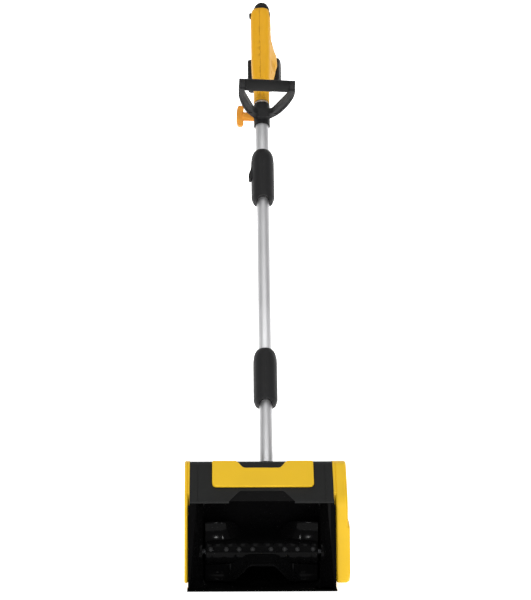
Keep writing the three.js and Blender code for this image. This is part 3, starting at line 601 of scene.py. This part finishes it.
def handle_section(t, points=56):
    front_half, back_half, front, back, power = between(HANDLE_STATIONS, t)
    middle, depth = (front + back) / 2, (back - front) / 2
    section = []
    for k in range(points):
        angle = 2 * math.pi * k / points
        c, s = math.cos(angle), math.sin(angle)
        across = math.copysign(abs(c) ** (2 / power), c)
        y = middle + depth * math.copysign(abs(s) ** (2 / power), s)
        spread = smooth((y + 4) / max(1, back + 4))
        flare = back_half - front_half
        x = across * (front_half + (flare if across > 0 else 0.35 * flare) * spread)
        section.append((x * MM, y * MM, t * MM))
    return section


def handle_form(name):
    foot, top = HANDLE_STATIONS[0][0], HANDLE_STATIONS[-1][0]
    levels = [foot + (top - foot) * i / 83 for i in range(84)]
    return loft(name, [handle_section(t) for t in levels], GRIP)


def half_of(form, name, sign):
    """The half of a closed form on one side of the handle's middle, closed again where it was cut."""
    made = bmesh.new()
    made.from_mesh(form.data)
    point = GRIP @ (Vector((sign * 0.2, 0, 0)) * MM)
    normal = (GRIP.to_3x3() @ Vector((sign, 0, 0))).normalized()
    everything = made.verts[:] + made.edges[:] + made.faces[:]
    cut = bmesh.ops.bisect_plane(made, geom=everything, dist=1e-7, plane_co=point, plane_no=normal,
                                 clear_inner=True)
    edges = [item for item in cut["geom_cut"] if isinstance(item, bmesh.types.BMEdge)]
    bmesh.ops.triangle_fill(made, use_beauty=True, edges=edges)
    bmesh.ops.recalc_face_normals(made, faces=made.faces)
    mesh = bpy.data.meshes.new(name)
    made.to_mesh(mesh)
    made.free()
    obj = bpy.data.objects.new(name, mesh)
    bpy.context.collection.objects.link(obj)
    return obj


def make_handle_shells():
    trigger_low, trigger_high = extent("trigger", GRIP)
    button_low, button_high = extent("lock_off_button", GRIP)
    button = ((button_low.y + button_high.y) / 2, (button_low.z + button_high.z) / 2)
    form = handle_form("handle_form")
    for hand in (-1, 1):
        rib = [(hand * 4, -13), (hand * 9.5, -13), (hand * 9.5, -17.2, 2), (hand * 4, -19, 2)]
        form = weld_on(form, soften(prism("rib", rib, 836, 882, "z", GRIP), 1.2, 3))
    form = carve(form, rod("tube_room", 14.3, (0, 0, 800), (0, 0, 905), GRIP, 72))
    hollow = [(-14, 905), (-14, 1062), (15, 1062), (15, 985), (44, 972), (44, 910), (8, 905)]
    form = carve(form, prism("hollow", hollow, -15, 15, "x", GRIP))
    slot_low, slot_high = (-8.2, 8, trigger_low.z - 2), (8.2, 60, trigger_high.z + 2.5)
    form = carve(form, block("finger_slot", slot_low, slot_high, GRIP))
    form = carve(form, rod("button_hole", 7.5, (-60, *button), (60, *button), GRIP, 48))
    for hand in (-1, 1):
        panel = [(-11, 1022, 5), (12, 1022, 5), (12, 1004, 5), (-11, 1004, 5)]
        low, high = sorted((hand * 20.9, hand * 40))
        form = carve(form, prism("panel", panel, low, high, "x", GRIP))
        for i in range(5):
            vent = [(-6 + i * 7, 944, 1), (-3.4 + i * 7, 944, 1), (2.6 + i * 7, 926, 1), (0 + i * 7, 926, 1)]
            low, high = sorted((hand * 15, hand * 60))
            form = carve(form, prism("vent", vent, low, high, "x", GRIP))
    form = carve(form, block("cap_room", (-30, -40, CAP_FROM), (30, 60, 1100), GRIP))
    for i in range(1, 4):
        low, high = extent(f"handle_screw_{i}", GRIP)
        y, t = (low.y + high.y) / 2, (low.z + high.z) / 2
        form = carve(form, rod("screw_well", 3.7, (14.3, y, t), (60, y, t), GRIP, 24))
    for side, sign in (("left", -1), ("right", 1)):
        half = half_of(form, f"handle_shell_{side}_skin", sign)
        piece(soften(half, 0.8, 3, 40), HANDLE_YELLOW, "upper_pole", f"handle_shell_{side}")
    bpy.data.objects.remove(form)


def make_end_cap():
    skirt, height = 17.6, 22
    dome = [(0, CAP_FROM + 0.3), (skirt, CAP_FROM + 0.3)]
    for i in range(1, 12):
        angle = math.radians(90 * i / 12)
        dome.append((skirt * math.cos(angle) ** 0.8, CAP_FROM + 1 + (height - 1) * math.sin(angle)))
    dome.append((0, CAP_FROM + height))
    place = GRIP @ Matrix.Translation(Vector((2.2, 0.2, 0)) * MM)
    cap = lathe("handle_end_cap_skin", dome, place, 64)
    piece(soften(cap, 0.4, 2, 50), RUBBER, "upper_pole", "handle_end_cap")


def make_trigger():
    low, high = extent("trigger", GRIP)
    pin_low, pin_high = extent("trigger_pin", GRIP)
    y, t = (pin_low.y + pin_high.y) / 2, (pin_low.z + pin_high.z) / 2
    side = [(y - 5, t + 5, 4), (y + 5, t + 5, 4), (y + 8, t - 14, 10), (y + 9.5, t - 30, 14),
            (y + 14, t - 46, 5), (y + 8, t - 49, 3), (y - 2, t - 30, 6), (y - 5, t - 12, 4)]
    form = prism("trigger_skin", side, low.x, high.x, "x", GRIP, 8)
    form = carve(form, rod("hole", 2.3, (-20, y, t), (20, y, t), GRIP, 24))
    piece(soften(form, 1.8, 4), BLACK, "trigger", "trigger")


def make_lock_off_button():
    low, high = extent("lock_off_button", GRIP)
    y, t = (low.y + high.y) / 2, (low.z + high.z) / 2
    lay = GRIP @ Matrix.Translation(Vector((0, y, t)) * MM) @ Matrix.Rotation(math.pi / 2, 4, "Y")
    profile = [(0, low.x + 0.9), (3.8, low.x + 0.7), (4.6, low.x), (6.2, low.x + 0.3), (7, low.x + 1.4),
               (7, high.x - 1.4), (6.2, high.x - 0.3), (4.6, high.x), (3.8, high.x - 0.7), (0, high.x - 0.9)]
    piece(lathe("lock_off_button_skin", profile, lay, 48), BLACK, "lock_off", "lock_off_button")


def make_battery():
    low, high = extent("battery_pack", GRIP)
    half, front, back = high.x, low.y, high.y
    section = [(3 - half, front, 3), (half - 3, front, 3), (half, front + 12, 4), (half, back - 2, 9),
               (-half, back - 2, 9), (-half, front + 12, 4)]
    form = prism("battery_pack_skin", section, low.z, high.z, "z", GRIP, 8)
    slot_low, slot_high = (-12.8, front - 1, low.z - 5), (12.8, front + 5.6, high.z - 6.7)
    form = carve(form, block("rail_slot", slot_low, slot_high, GRIP))
    latch_low, latch_high = extent("battery_latch", GRIP)
    form = carve(form, block("latch_room", (latch_low.x - 0.3, latch_low.y - 4, latch_low.z - 0.3),
                             (latch_high.x + 0.3, back + 9, latch_high.z + 0.3), GRIP))
    for hand in (-1, 1):
        for i in range(4):
            t = low.z + 16 + i * 9
            x_low, x_high = sorted((hand * (half - 1), hand * (half + 5)))
            groove = block("grip_groove", (x_low, front + 16, t), (x_high, back - 12, t + 3), GRIP)
            form = carve(form, groove)
    seam_low, seam_high = (-half - 5, front + 13.5, low.z - 5), (half + 5, front + 14.2, high.z + 5)
    shell = block("seam", seam_low, seam_high, GRIP)
    inner = block("inner", (-half + 0.8, front - 5, low.z + 0.8), (half - 0.8, back + 5, high.z - 0.8), GRIP)
    form = carve(form, carve(shell, inner))
    piece(soften(form, 1.0, 3), BLACK, "battery", "battery_pack")
    button = block("battery_latch_skin", latch_low, latch_high, GRIP)
    for i in range(3):
        t = latch_low.z + 4 + i * 3.4
        button = carve(button, rod("rib", 0.7, (-20, latch_high.y, t), (20, latch_high.y, t), GRIP, 16))
    piece(soften(button, 0.7, 3), GREY, "battery_release", "battery_latch")


make_handle_shells()
make_end_cap()
make_trigger()
make_lock_off_button()
make_battery()

# ---------------------------------------------------------------- head

HOUSING_LOW, HOUSING_HIGH = extent("scoop_housing", HEAD)
BACK, HOUSING_TOP = HOUSING_HIGH.y, HOUSING_HIGH.z
AXLE_Y, AXLE_Z = 63, 67
HOOD_FOOT, HOOD_BROW, HOOD_BACK = (30, 167), (103, 237), 140
ROOF_BACK = 233.6                              # the roof falls a little from the brow to here
CHAMBER_HALF, CHAMBER_RADIUS = 112, 64
HEAD_HALF, WING_HALF = 138, 141


def rounded_tool(tool, radius, segments, angle=60):
    """Rounds a tool before it cuts, so that the hollow it leaves has fillets."""
    bevel = tool.modifiers.new("fillet", "BEVEL")
    bevel.width, bevel.segments = radius * MM, segments
    bevel.limit_method, bevel.angle_limit = "ANGLE", math.radians(angle)
    return baked(tool)


def chamber_outline(grow=0, front=-20):
    """The chamber round the rotor from the side: floor, round back and roof, open in front."""
    radius = CHAMBER_RADIUS + grow
    points = [(front, AXLE_Z - radius), (AXLE_Y, AXLE_Z - radius)]
    for i in range(1, 41):
        angle = math.radians(-90 + 130 * i / 40)
        points.append((AXLE_Y + radius * math.cos(angle), AXLE_Z + radius * math.sin(angle)))
    return points + [(66 + grow, HOUSING_TOP + 0.5), (front, HOUSING_TOP + 0.5)]


def hull(name, points, place):
    """The convex body round some points in mm."""
    made = bmesh.new()
    for point in points:
        made.verts.new(Vector(point) * MM)
    result = bmesh.ops.convex_hull(made, input=made.verts)
    loose = [item for item in result["geom_interior"] if isinstance(item, bmesh.types.BMVert)]
    bmesh.ops.delete(made, geom=loose, context="VERTS")
    made.transform(place)
    mesh = bpy.data.meshes.new(name)
    made.to_mesh(mesh)
    made.free()
    obj = bpy.data.objects.new(name, mesh)
    bpy.context.collection.objects.link(obj)
    return obj


def on_axle(name, radius, x_from, x_to, segments):
    """A round rod on the rotor's axle line."""
    low, high = sorted((x_from, x_to))
    return rod(name, radius, (low, AXLE_Y, AXLE_Z), (high, AXLE_Y, AXLE_Z), HEAD, segments)


def make_scoop_housing():
    side = [(2, 0), (205, 0), (BACK, 20, 6), (BACK, HOUSING_TOP), (30, HOUSING_TOP), (2, 4)]
    form = prism("scoop_housing_skin", side, -HEAD_HALF, HEAD_HALF, "x", HEAD)
    flange = [(2, 0), (16, 0), (46, HOUSING_TOP - 6, 3), (34, HOUSING_TOP - 3, 6), (29, HOUSING_TOP - 8, 4),
              (2, 4)]
    form = weld_on(form, soften(prism("flange", flange, -WING_HALF, WING_HALF, "x", HEAD), 1.5, 3))
    chamber = prism("chamber", chamber_outline(), -CHAMBER_HALF, CHAMBER_HALF, "x", HEAD, 4)
    form = carve(form, rounded_tool(chamber, 13, 8))
    mouth = [(-139, -20), (139, -20), (139, 0), (CHAMBER_HALF, 58), (-CHAMBER_HALF, 58), (-139, 0)]
    form = carve(form, prism("mouth", mouth, 3.3, 200, "z", HEAD))
    bay = [(110, 10, 4), (204, 10, 6), (BACK - 3, 24, 6), (BACK - 3, 200), (138, 200), (136, 140),
           (139, 67), (128, 28)]
    form = carve(form, prism("motor_bay", bay, -CHAMBER_HALF, CHAMBER_HALF, "x", HEAD))
    form = carve(form, block("blade_seat", (-200, -1, -5), (200, 30.3, 3.3), HEAD))
    for hand in (-1, 1):
        inner = hand * (CHAMBER_HALF + 3)
        low, high = sorted((inner, hand * 200))
        pocket = [(62, 6, 8), (BACK - 6, 6, 14), (BACK - 6, HOUSING_TOP - 6, 8), (62, HOUSING_TOP - 6, 8)]
        form = carve(form, prism("side_pocket", pocket, low, high, "x", HEAD))
        form = weld_on(form, on_axle("boss", 21, inner - hand, hand * 129, 64))
        form = carve(form, on_axle("bearing_seat", 16.3, hand * 116, hand * 200, 64))
        form = carve(form, on_axle("axle_bore", 10, hand * 100, hand * 200, 48))
        corner = [(hand * 139.2, 1, 3.2), (hand * 126.6, 28, 21), (hand * 126.6, 28, 3.2),
                  (hand * 113, 57, 10), (hand * 113, 57, 3), (hand * 108, 40, 3.2), (hand * 139.2, 1, 3.8)]
        form = weld_on(form, hull("gusset", corner, HEAD))
    form = carve(form, rod("shaft_hole", 6.5, (100, 178, 95), (200, 178, 95), HEAD, 40))
    piece(soften(form, 1.6, 4, 22), SCOOP_BLACK, "head", "scoop_housing")


SLOPE = Vector((HOOD_BROW[0] - HOOD_FOOT[0], HOOD_BROW[1] - HOOD_FOOT[1]))
ON_HOOD = HEAD @ Matrix.Translation(Vector((0, *HOOD_FOOT)) * MM) @ Matrix.Rotation(
    math.atan2(SLOPE.y, SLOPE.x), 4, "X")


NOTCH_FOOT, NOTCH_TOP = 63, 42                 # half widths of the notch under the hood


def sleeve_room():
    """Where the pole's socket passes through the roof."""
    return rod("sleeve_room", 23.4, (0, 0, -90), (0, 0, 60), POLE, 64)


def ear_room():
    """Where the socket's bolt ears pass through the roof."""
    return rod("ear_room", 8, (0, 0, -8), (32, 0, -8), POLE, 40)


def notch_tool(grow=0):
    """The dark bay under the hood's edge, as a tool."""
    foot, top = NOTCH_FOOT + grow, NOTCH_TOP + grow
    front = [(-foot, 150), (foot, 150), (foot, 167), (top, 185 + grow, 4), (-top, 185 + grow, 4),
             (-foot, 167)]
    tool = prism("notch", front, 0, 66.5 + grow, "y", HEAD)
    side = [(0, 150), (66 + grow, 150), (66 + grow, 163), (44 + grow, 240), (0, 240)]
    return keep_inside(tool, prism("notch_side", side, -130, 130, "x", HEAD))


def make_front_hood():
    skin = [(30, HOUSING_TOP + 0.3), (*HOOD_FOOT, 2), (*HOOD_BROW, 10), (HOOD_BACK, ROOF_BACK),
            (HOOD_BACK, HOUSING_TOP + 0.3)]
    form = prism("front_hood_skin", skin, -HEAD_HALF, HEAD_HALF, "x", HEAD, 10)
    inside = [(70, 167), (40, 167), (104, 233), (141, 230), (200, 230), (200, 100), (70, 100)]
    hollow = carve(prism("hood_inside", inside, 3 - HEAD_HALF, HEAD_HALF - 3, "x", HEAD), notch_tool(3))
    form = carve(form, hollow, notch_tool(), sleeve_room(), ear_room())
    recess = [(-97, 32.5, 9), (103, 32.5, 9), (103, 130), (-97, 130)]
    form = carve(form, prism("recess", recess, -0.9, 8, "z", ON_HOOD, 8))
    for hand in (-1, 1):
        line = [(hand * 122, -4), (hand * 123.2, -4), (hand * 123.2, 90), (hand * 122, 90)]
        form = carve(form, prism("line", line, -0.8, 8, "z", ON_HOOD))
    hood = piece(soften(form, 1.8, 4, 25), HOOD_BLACK, "head", "front_hood")
    hood.data.materials.append(SCOOP_BLACK)   # the notch's inside faces take the scoop's darker plastic: painted shade for the shaded bay under the hood
    facing = Vector((0, -SLOPE.y, SLOPE.x)).normalized()
    foot = HEAD @ (Vector((0, *HOOD_FOOT)) * MM)
    for polygon in hood.data.polygons:
        depth = (polygon.center - foot).dot(facing)
        if abs(polygon.center.x) < 67 * MM and polygon.center.z < 190 * MM and depth < -1.5 * MM:
            polygon.material_index = 1


def make_trim_plate():
    low, high = 34.5, SLOPE.length - 1
    corners = [(-95, low, 10), (101, low, 10), (101, high, 4), (49.5, high, 4), (37, high - 18, 5),
               (-35, high - 18, 5), (-47.5, high, 4), (-95, high, 4)]
    plate = prism("hood_trim_plate_skin", corners, -0.5, 4.3, "z", ON_HOOD, 10)
    piece(soften(plate, 1.8, 5), YELLOW, "head", "hood_trim_plate")


def make_rear_cover():
    tail = 185
    skin = [(HOOD_BACK + 0.3, HOUSING_TOP + 0.3), (BACK, HOUSING_TOP + 0.3), (BACK, tail, 12),
            (HOOD_BACK + 8, ROOF_BACK - 1, 5), (HOOD_BACK + 0.3, ROOF_BACK)]
    form = prism("rear_cover_skin", skin, -HEAD_HALF, HEAD_HALF, "x", HEAD, 8)
    inside = [(HOOD_BACK - 5, 100), (BACK - 3, 100), (BACK - 3, tail - 1), (HOOD_BACK + 7, 229),
              (HOOD_BACK - 5, 230)]
    form = carve(form, prism("cover_inside", inside, 3 - HEAD_HALF, HEAD_HALF - 3, "x", HEAD), sleeve_room())
    form = carve(form, ear_room())
    for i in range(-3, 4):
        for offset in (-75, 75):
            low = offset + i * 10 - 2
            slot = [(low, 167, 1.9), (low + 4, 167, 1.9), (low + 4, 179, 1.9), (low, 179, 1.9)]
            form = carve(form, prism("vent", slot, BACK - 10, BACK + 5, "y", HEAD))
    piece(soften(form, 1.4, 3, 25), HOOD_BLACK, "head", "rear_cover")


# Outlines of the yellow side covers (y, z, radius of the corner).
COVER_SIDE = [(14, 12, 10), (200, 8, 16), (214, 22, 8), (214, 180, 14), (152, 234, 22), (104, 238, 14),
              (38, 168, 16)]
COVER_RIM = [(50, 10), (200, 8, 10), (214, 22, 8), (214, 180, 14), (152, 234, 22), (104, 238, 14), (50, 182)]
COVER_PANEL = [(34, 24, 12), (190, 20, 14), (202, 30, 8), (202, 170, 12), (148, 214, 18), (110, 218, 12),
               (54, 164, 14)]
COVER_HOLLOW = [(58, 22, 6), (200, 20, 10), (202, 168, 10), (150, 212, 12), (112, 212, 12), (64, 168, 10)]


def cover_screws(form, x_from, x_to, places):
    for y, z in places:
        form = carve(form, rod("screw_well", 4.6, (x_from, y, z), (x_to, y, z), HEAD, 32))
    return form


def make_side_cover():
    form = soften(prism("side_cover_skin", COVER_SIDE, -148, -141.3, "x", HEAD, 10), 3, 5)
    form = weld_on(baked(form), prism("rim", COVER_RIM, -142, -138.3, "x", HEAD, 10))
    form = carve(form, prism("hollow", COVER_HOLLOW, -144.5, 0, "x", HEAD, 8))
    inner = [(y + (2.5 if y < 120 else -2.5), z + (2.5 if z < 100 else -2.5), r) for y, z, r in COVER_PANEL]
    line = carve(prism("outer", COVER_PANEL, -150, -147.2, "x", HEAD, 8),
                 prism("inner", inner, -152, -147, "x", HEAD, 8))
    form = carve(form, line)
    form = cover_screws(form, -160, -146, [(34, 40), (200, 40), (196, 160), (112, 216)])
    piece(soften(form, 0.8, 3, 40), YELLOW, "head", "side_cover")


def belt_loop(grow, steps=40):
    """The belt's loop round its two pulleys, from the side, in mm."""
    pitch_radius = 5 / (2 * math.pi)
    big, small = 36 * pitch_radius + grow, 12 * pitch_radius + grow
    motor_y, motor_z = 178, 95
    reach = math.hypot(motor_y - AXLE_Y, motor_z - AXLE_Z)
    along = math.atan2(motor_z - AXLE_Z, motor_y - AXLE_Y)
    wrap = math.acos((big - small) / reach)
    points = []
    for i in range(steps + 1):
        angle = along + wrap + (2 * math.pi - 2 * wrap) * i / steps
        points.append((AXLE_Y + big * math.cos(angle), AXLE_Z + big * math.sin(angle)))
    for i in range(steps + 1):
        angle = along - wrap + 2 * wrap * i / steps
        points.append((motor_y + small * math.cos(angle), motor_z + small * math.sin(angle)))
    return points


def make_belt_cover():
    high = extent("belt_cover", HEAD)[1].x
    form = soften(prism("belt_cover_skin", COVER_SIDE, 141.3, 165, "x", HEAD, 10), 5, 6)
    form = weld_on(baked(form), prism("rim", COVER_RIM, 138.3, 143, "x", HEAD, 10))
    raised = prism("raised", belt_loop(31), 152, high, "x", HEAD)
    raised = keep_inside(raised, prism("raised_edge", COVER_SIDE, 100, 200, "x", HEAD, 10))
    form = weld_on(form, rounded_tool(raised, 4.5, 5, 40))
    hollow = prism("hollow", COVER_HOLLOW, 100, 159, "x", HEAD, 8)
    form = carve(form, hollow, prism("belt_room", belt_loop(8), 100, 165.5, "x", HEAD))
    form = cover_screws(form, 163, 180, [(200, 40), (196, 160), (112, 214)])
    groove = carve(prism("outer", belt_loop(14), high - 0.9, high + 5, "x", HEAD),
                   prism("inner", belt_loop(12), high - 2, high + 6, "x", HEAD))
    form = carve(form, groove)
    piece(soften(form, 0.8, 3, 35), YELLOW, "head", "belt_cover")


def make_scraper_blade():
    low, high = extent("scraper_blade", HEAD)
    wedge = [(low.y, 0), (high.y, 0), (high.y, 3), (1, 3), (low.y, 1.3)]
    form = prism("scraper_blade_skin", wedge, low.x, high.x, "x", HEAD)
    for x in (-110, -55, 0, 55, 110):
        form = weld_on(form, rod("head", 3.2, (x, 19, 2), (x, 19, 4), HEAD, 24))
        form = carve(form, rod("drive", 1.4, (x, 19, 3.2), (x, 19, 6), HEAD, 6))
    piece(soften(form, 0.4, 3), SCOOP_BLACK, "head", "scraper_blade")


make_scoop_housing()
make_front_hood()
make_trim_plate()
make_rear_cover()
make_side_cover()
make_belt_cover()
make_scraper_blade()

# ---------------------------------------------------------------- rotor

DRUM = 24
ROTOR_HALF, ROTOR_RADIUS = 108, 58


def paddle_angle(x):
    """How far below the drum's front the paddle's edge is, across the rotor."""
    return math.radians(20 + 72 * smooth((abs(x) - 19) / (77 - 19)))


def on_rotor(x, out, through, angle):
    turn = math.pi + paddle_angle(x) + angle
    y = AXLE_Y + out * math.cos(turn) - through * math.sin(turn)
    z = AXLE_Z + out * math.sin(turn) + through * math.cos(turn)
    return HEAD @ (Vector((x, y, z)) * MM)


def make_paddle(mark, angle):
    root, fillet = DRUM + 0.6, 22
    side = [(root + u, 2.5 + 4.2 * (1 - u / fillet) ** 2) for u in range(0, fillet + 1, 2)]
    tip = [(ROTOR_RADIUS - 5, -2.5), (ROTOR_RADIUS - 1.2, -1.6), (ROTOR_RADIUS, 0.2), (ROTOR_RADIUS - 0.6, 2),
           (ROTOR_RADIUS - 3, 3.2), (ROTOR_RADIUS - 7, 2.5)]
    blade = [(out, -through) for out, through in side] + tip + side[::-1]
    sections = []
    for i in range(109):
        x = -ROTOR_HALF + 2 * ROTOR_HALF * i / 108
        cup = 7 * (max(0, abs(x) - 72) / 36) ** 2      # the ends are cupped to hold the snow
        section = []
        for out, through in blade:
            through += cup
            if out == root:
                out -= through ** 2 / (2 * root)       # the foot follows the drum
            section.append(on_rotor(x, out, through, angle))
        sections.append(section)
    form = loft(f"paddle_{mark}_skin", sections)
    for x, height in ((-60, 14), (0, 6), (60, 14)):
        turn = math.pi + paddle_angle(x) + angle
        lay = HEAD @ Matrix.Translation(Vector((0, AXLE_Y, AXLE_Z)) * MM) @ Matrix.Rotation(turn, 4, "X")
        rib = [(root, 0), (ROTOR_RADIUS - 4, 0), (root, -height)]
        form = weld_on(form, prism("rib", rib, x - 1.5, x + 1.5, "x", lay))
    piece(soften(form, 0.6, 3, 40), SCOOP_BLACK, "rotor", f"paddle_{mark}")


def make_clamp(mark, angle):
    turn = math.pi - math.radians(16) + angle
    lay = HEAD @ Matrix.Translation(Vector((0, AXLE_Y, AXLE_Z)) * MM) @ Matrix.Rotation(turn, 4, "X")
    strip = rod("strip", DRUM + 3, (-104, 0, 0), (104, 0, 0), lay, 96)
    strip = keep_inside(strip, block("keep", (-104, DRUM - 8, -6), (104, DRUM + 5, 6), lay))
    form = carve(strip, rod("drum_room", DRUM + 0.3, (-120, 0, 0), (120, 0, 0), lay, 96))
    for x in (17.5, 43.5, 68, 98):
        for hand in (-1, 1):
            profile = [(0, 0), (4.6, 0), (4.6, 2), (4.1, 3.4), (2.8, 4.5), (1.4, 5), (0, 5.1)]
            foot = Matrix.Translation(Vector((hand * x, DRUM + 1.4, 0)) * MM)
            stand = lay @ foot @ Matrix.Rotation(-math.pi / 2, 4, "X")
            form = weld_on(form, lathe("bolt_head", profile, stand, 32))
    clamp = piece(soften(form, 0.5, 3), SCOOP_BLACK, "rotor", f"paddle_clamp_{mark}")
    clamp.data.materials.append(BLACK)        # the bolt heads are duller than the strip, and the lighter colour of their black_plastic is a painted highlight on them
    axle = HEAD @ (Vector((0, AXLE_Y, AXLE_Z)) * MM)
    for polygon in clamp.data.polygons:
        reach = math.hypot(polygon.center.y - axle.y, polygon.center.z - axle.z)
        if reach > (DRUM + 3.2) * MM:
            polygon.material_index = 1


def make_drum():
    lay = HEAD @ Matrix.Translation(Vector((0, AXLE_Y, AXLE_Z)) * MM) @ Matrix.Rotation(math.pi / 2, 4, "Y")
    profile = [(7, -ROTOR_HALF), (22.5, -ROTOR_HALF), (DRUM, 1.5 - ROTOR_HALF)]
    for step in range(-4, 5):
        x = step * 24
        profile += [(DRUM, x - 1), (DRUM - 0.7, x - 0.4), (DRUM - 0.7, x + 0.4), (DRUM, x + 1)]
    profile += [(DRUM, ROTOR_HALF - 1.5), (22.5, ROTOR_HALF), (7, ROTOR_HALF), (7, -ROTOR_HALF)]
    piece(lathe("rotor_drum_skin", profile, lay, 96), SCOOP_BLACK, "rotor", "rotor_drum")


make_drum()
for mark, angle in (("a", 0), ("b", math.pi)):
    make_paddle(mark, angle)
    make_clamp(mark, angle)

# ---------------------------------------------------------------- stage


def area_light(name, place, target, size, power):
    data = bpy.data.lights.new(name, "AREA")
    data.shape = "RECTANGLE"
    data.size, data.size_y = size, size
    data.energy = power
    light = bpy.data.objects.new(name, data)
    bpy.context.collection.objects.link(light)
    light.location = place
    light.rotation_euler = (Vector(target) - Vector(place)).to_track_quat("-Z", "Y").to_euler()
    return light


def pale_surface(name, glow):
    material = bpy.data.materials.new(name)
    material.use_nodes = True
    shader = material.node_tree.nodes["Principled BSDF"]
    shader.inputs["Base Color"].default_value = (0.93, 0.93, 0.93, 1)
    shader.inputs["Roughness"].default_value = 0.9
    shader.inputs["Emission Color"].default_value = (1, 1, 1, 1)
    shader.inputs["Emission Strength"].default_value = glow
    return material


def make_stage():
    ground = [(-30, -12, 0), (30, -12, 0), (30, 12, 0), (-30, 12, 0)]
    floor = mesh_object("floor", ground, [(0, 1, 2, 3)])
    floor.location.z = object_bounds()[0].z - 0.0005
    dress(floor, pale_surface("floor_look", 0.85))
    wall = [(-30, 12, -1), (30, 12, -1), (30, 12, 16), (-30, 12, 16)]
    backdrop = mesh_object("backdrop", wall, [(0, 1, 2, 3)])
    dress(backdrop, pale_surface("backdrop_look", 1.0))

    world = bpy.data.worlds.new("world")
    bpy.context.scene.world = world
    world.use_nodes = True
    nodes, links = world.node_tree.nodes, world.node_tree.links
    height = nodes.new("ShaderNodeSeparateXYZ")
    links.new(nodes.new("ShaderNodeTexCoord").outputs["Generated"], height.inputs["Vector"])
    strength = remap(nodes, links, height.outputs["Z"], 0.12, 0.5, 0.0, 0.9)
    links.new(strength, nodes["Background"].inputs["Strength"])
    nodes["Background"].inputs["Color"].default_value = (1, 1, 1, 1)

    head = (0, 0, 0.12)
    grip = (0, 0.45, 0.95)
    area_light("key_left", (-1.3, -4.0, 1.9), head, 0.32, 38)
    area_light("key_right", (1.3, -4.0, 1.9), head, 0.32, 38)
    area_light("above", (0, -1.8, 4.4), grip, 2.4, 25)
    scene = bpy.context.scene
    scene.view_settings.view_transform = "Standard"
    scene.view_settings.look = "None"


make_stage()
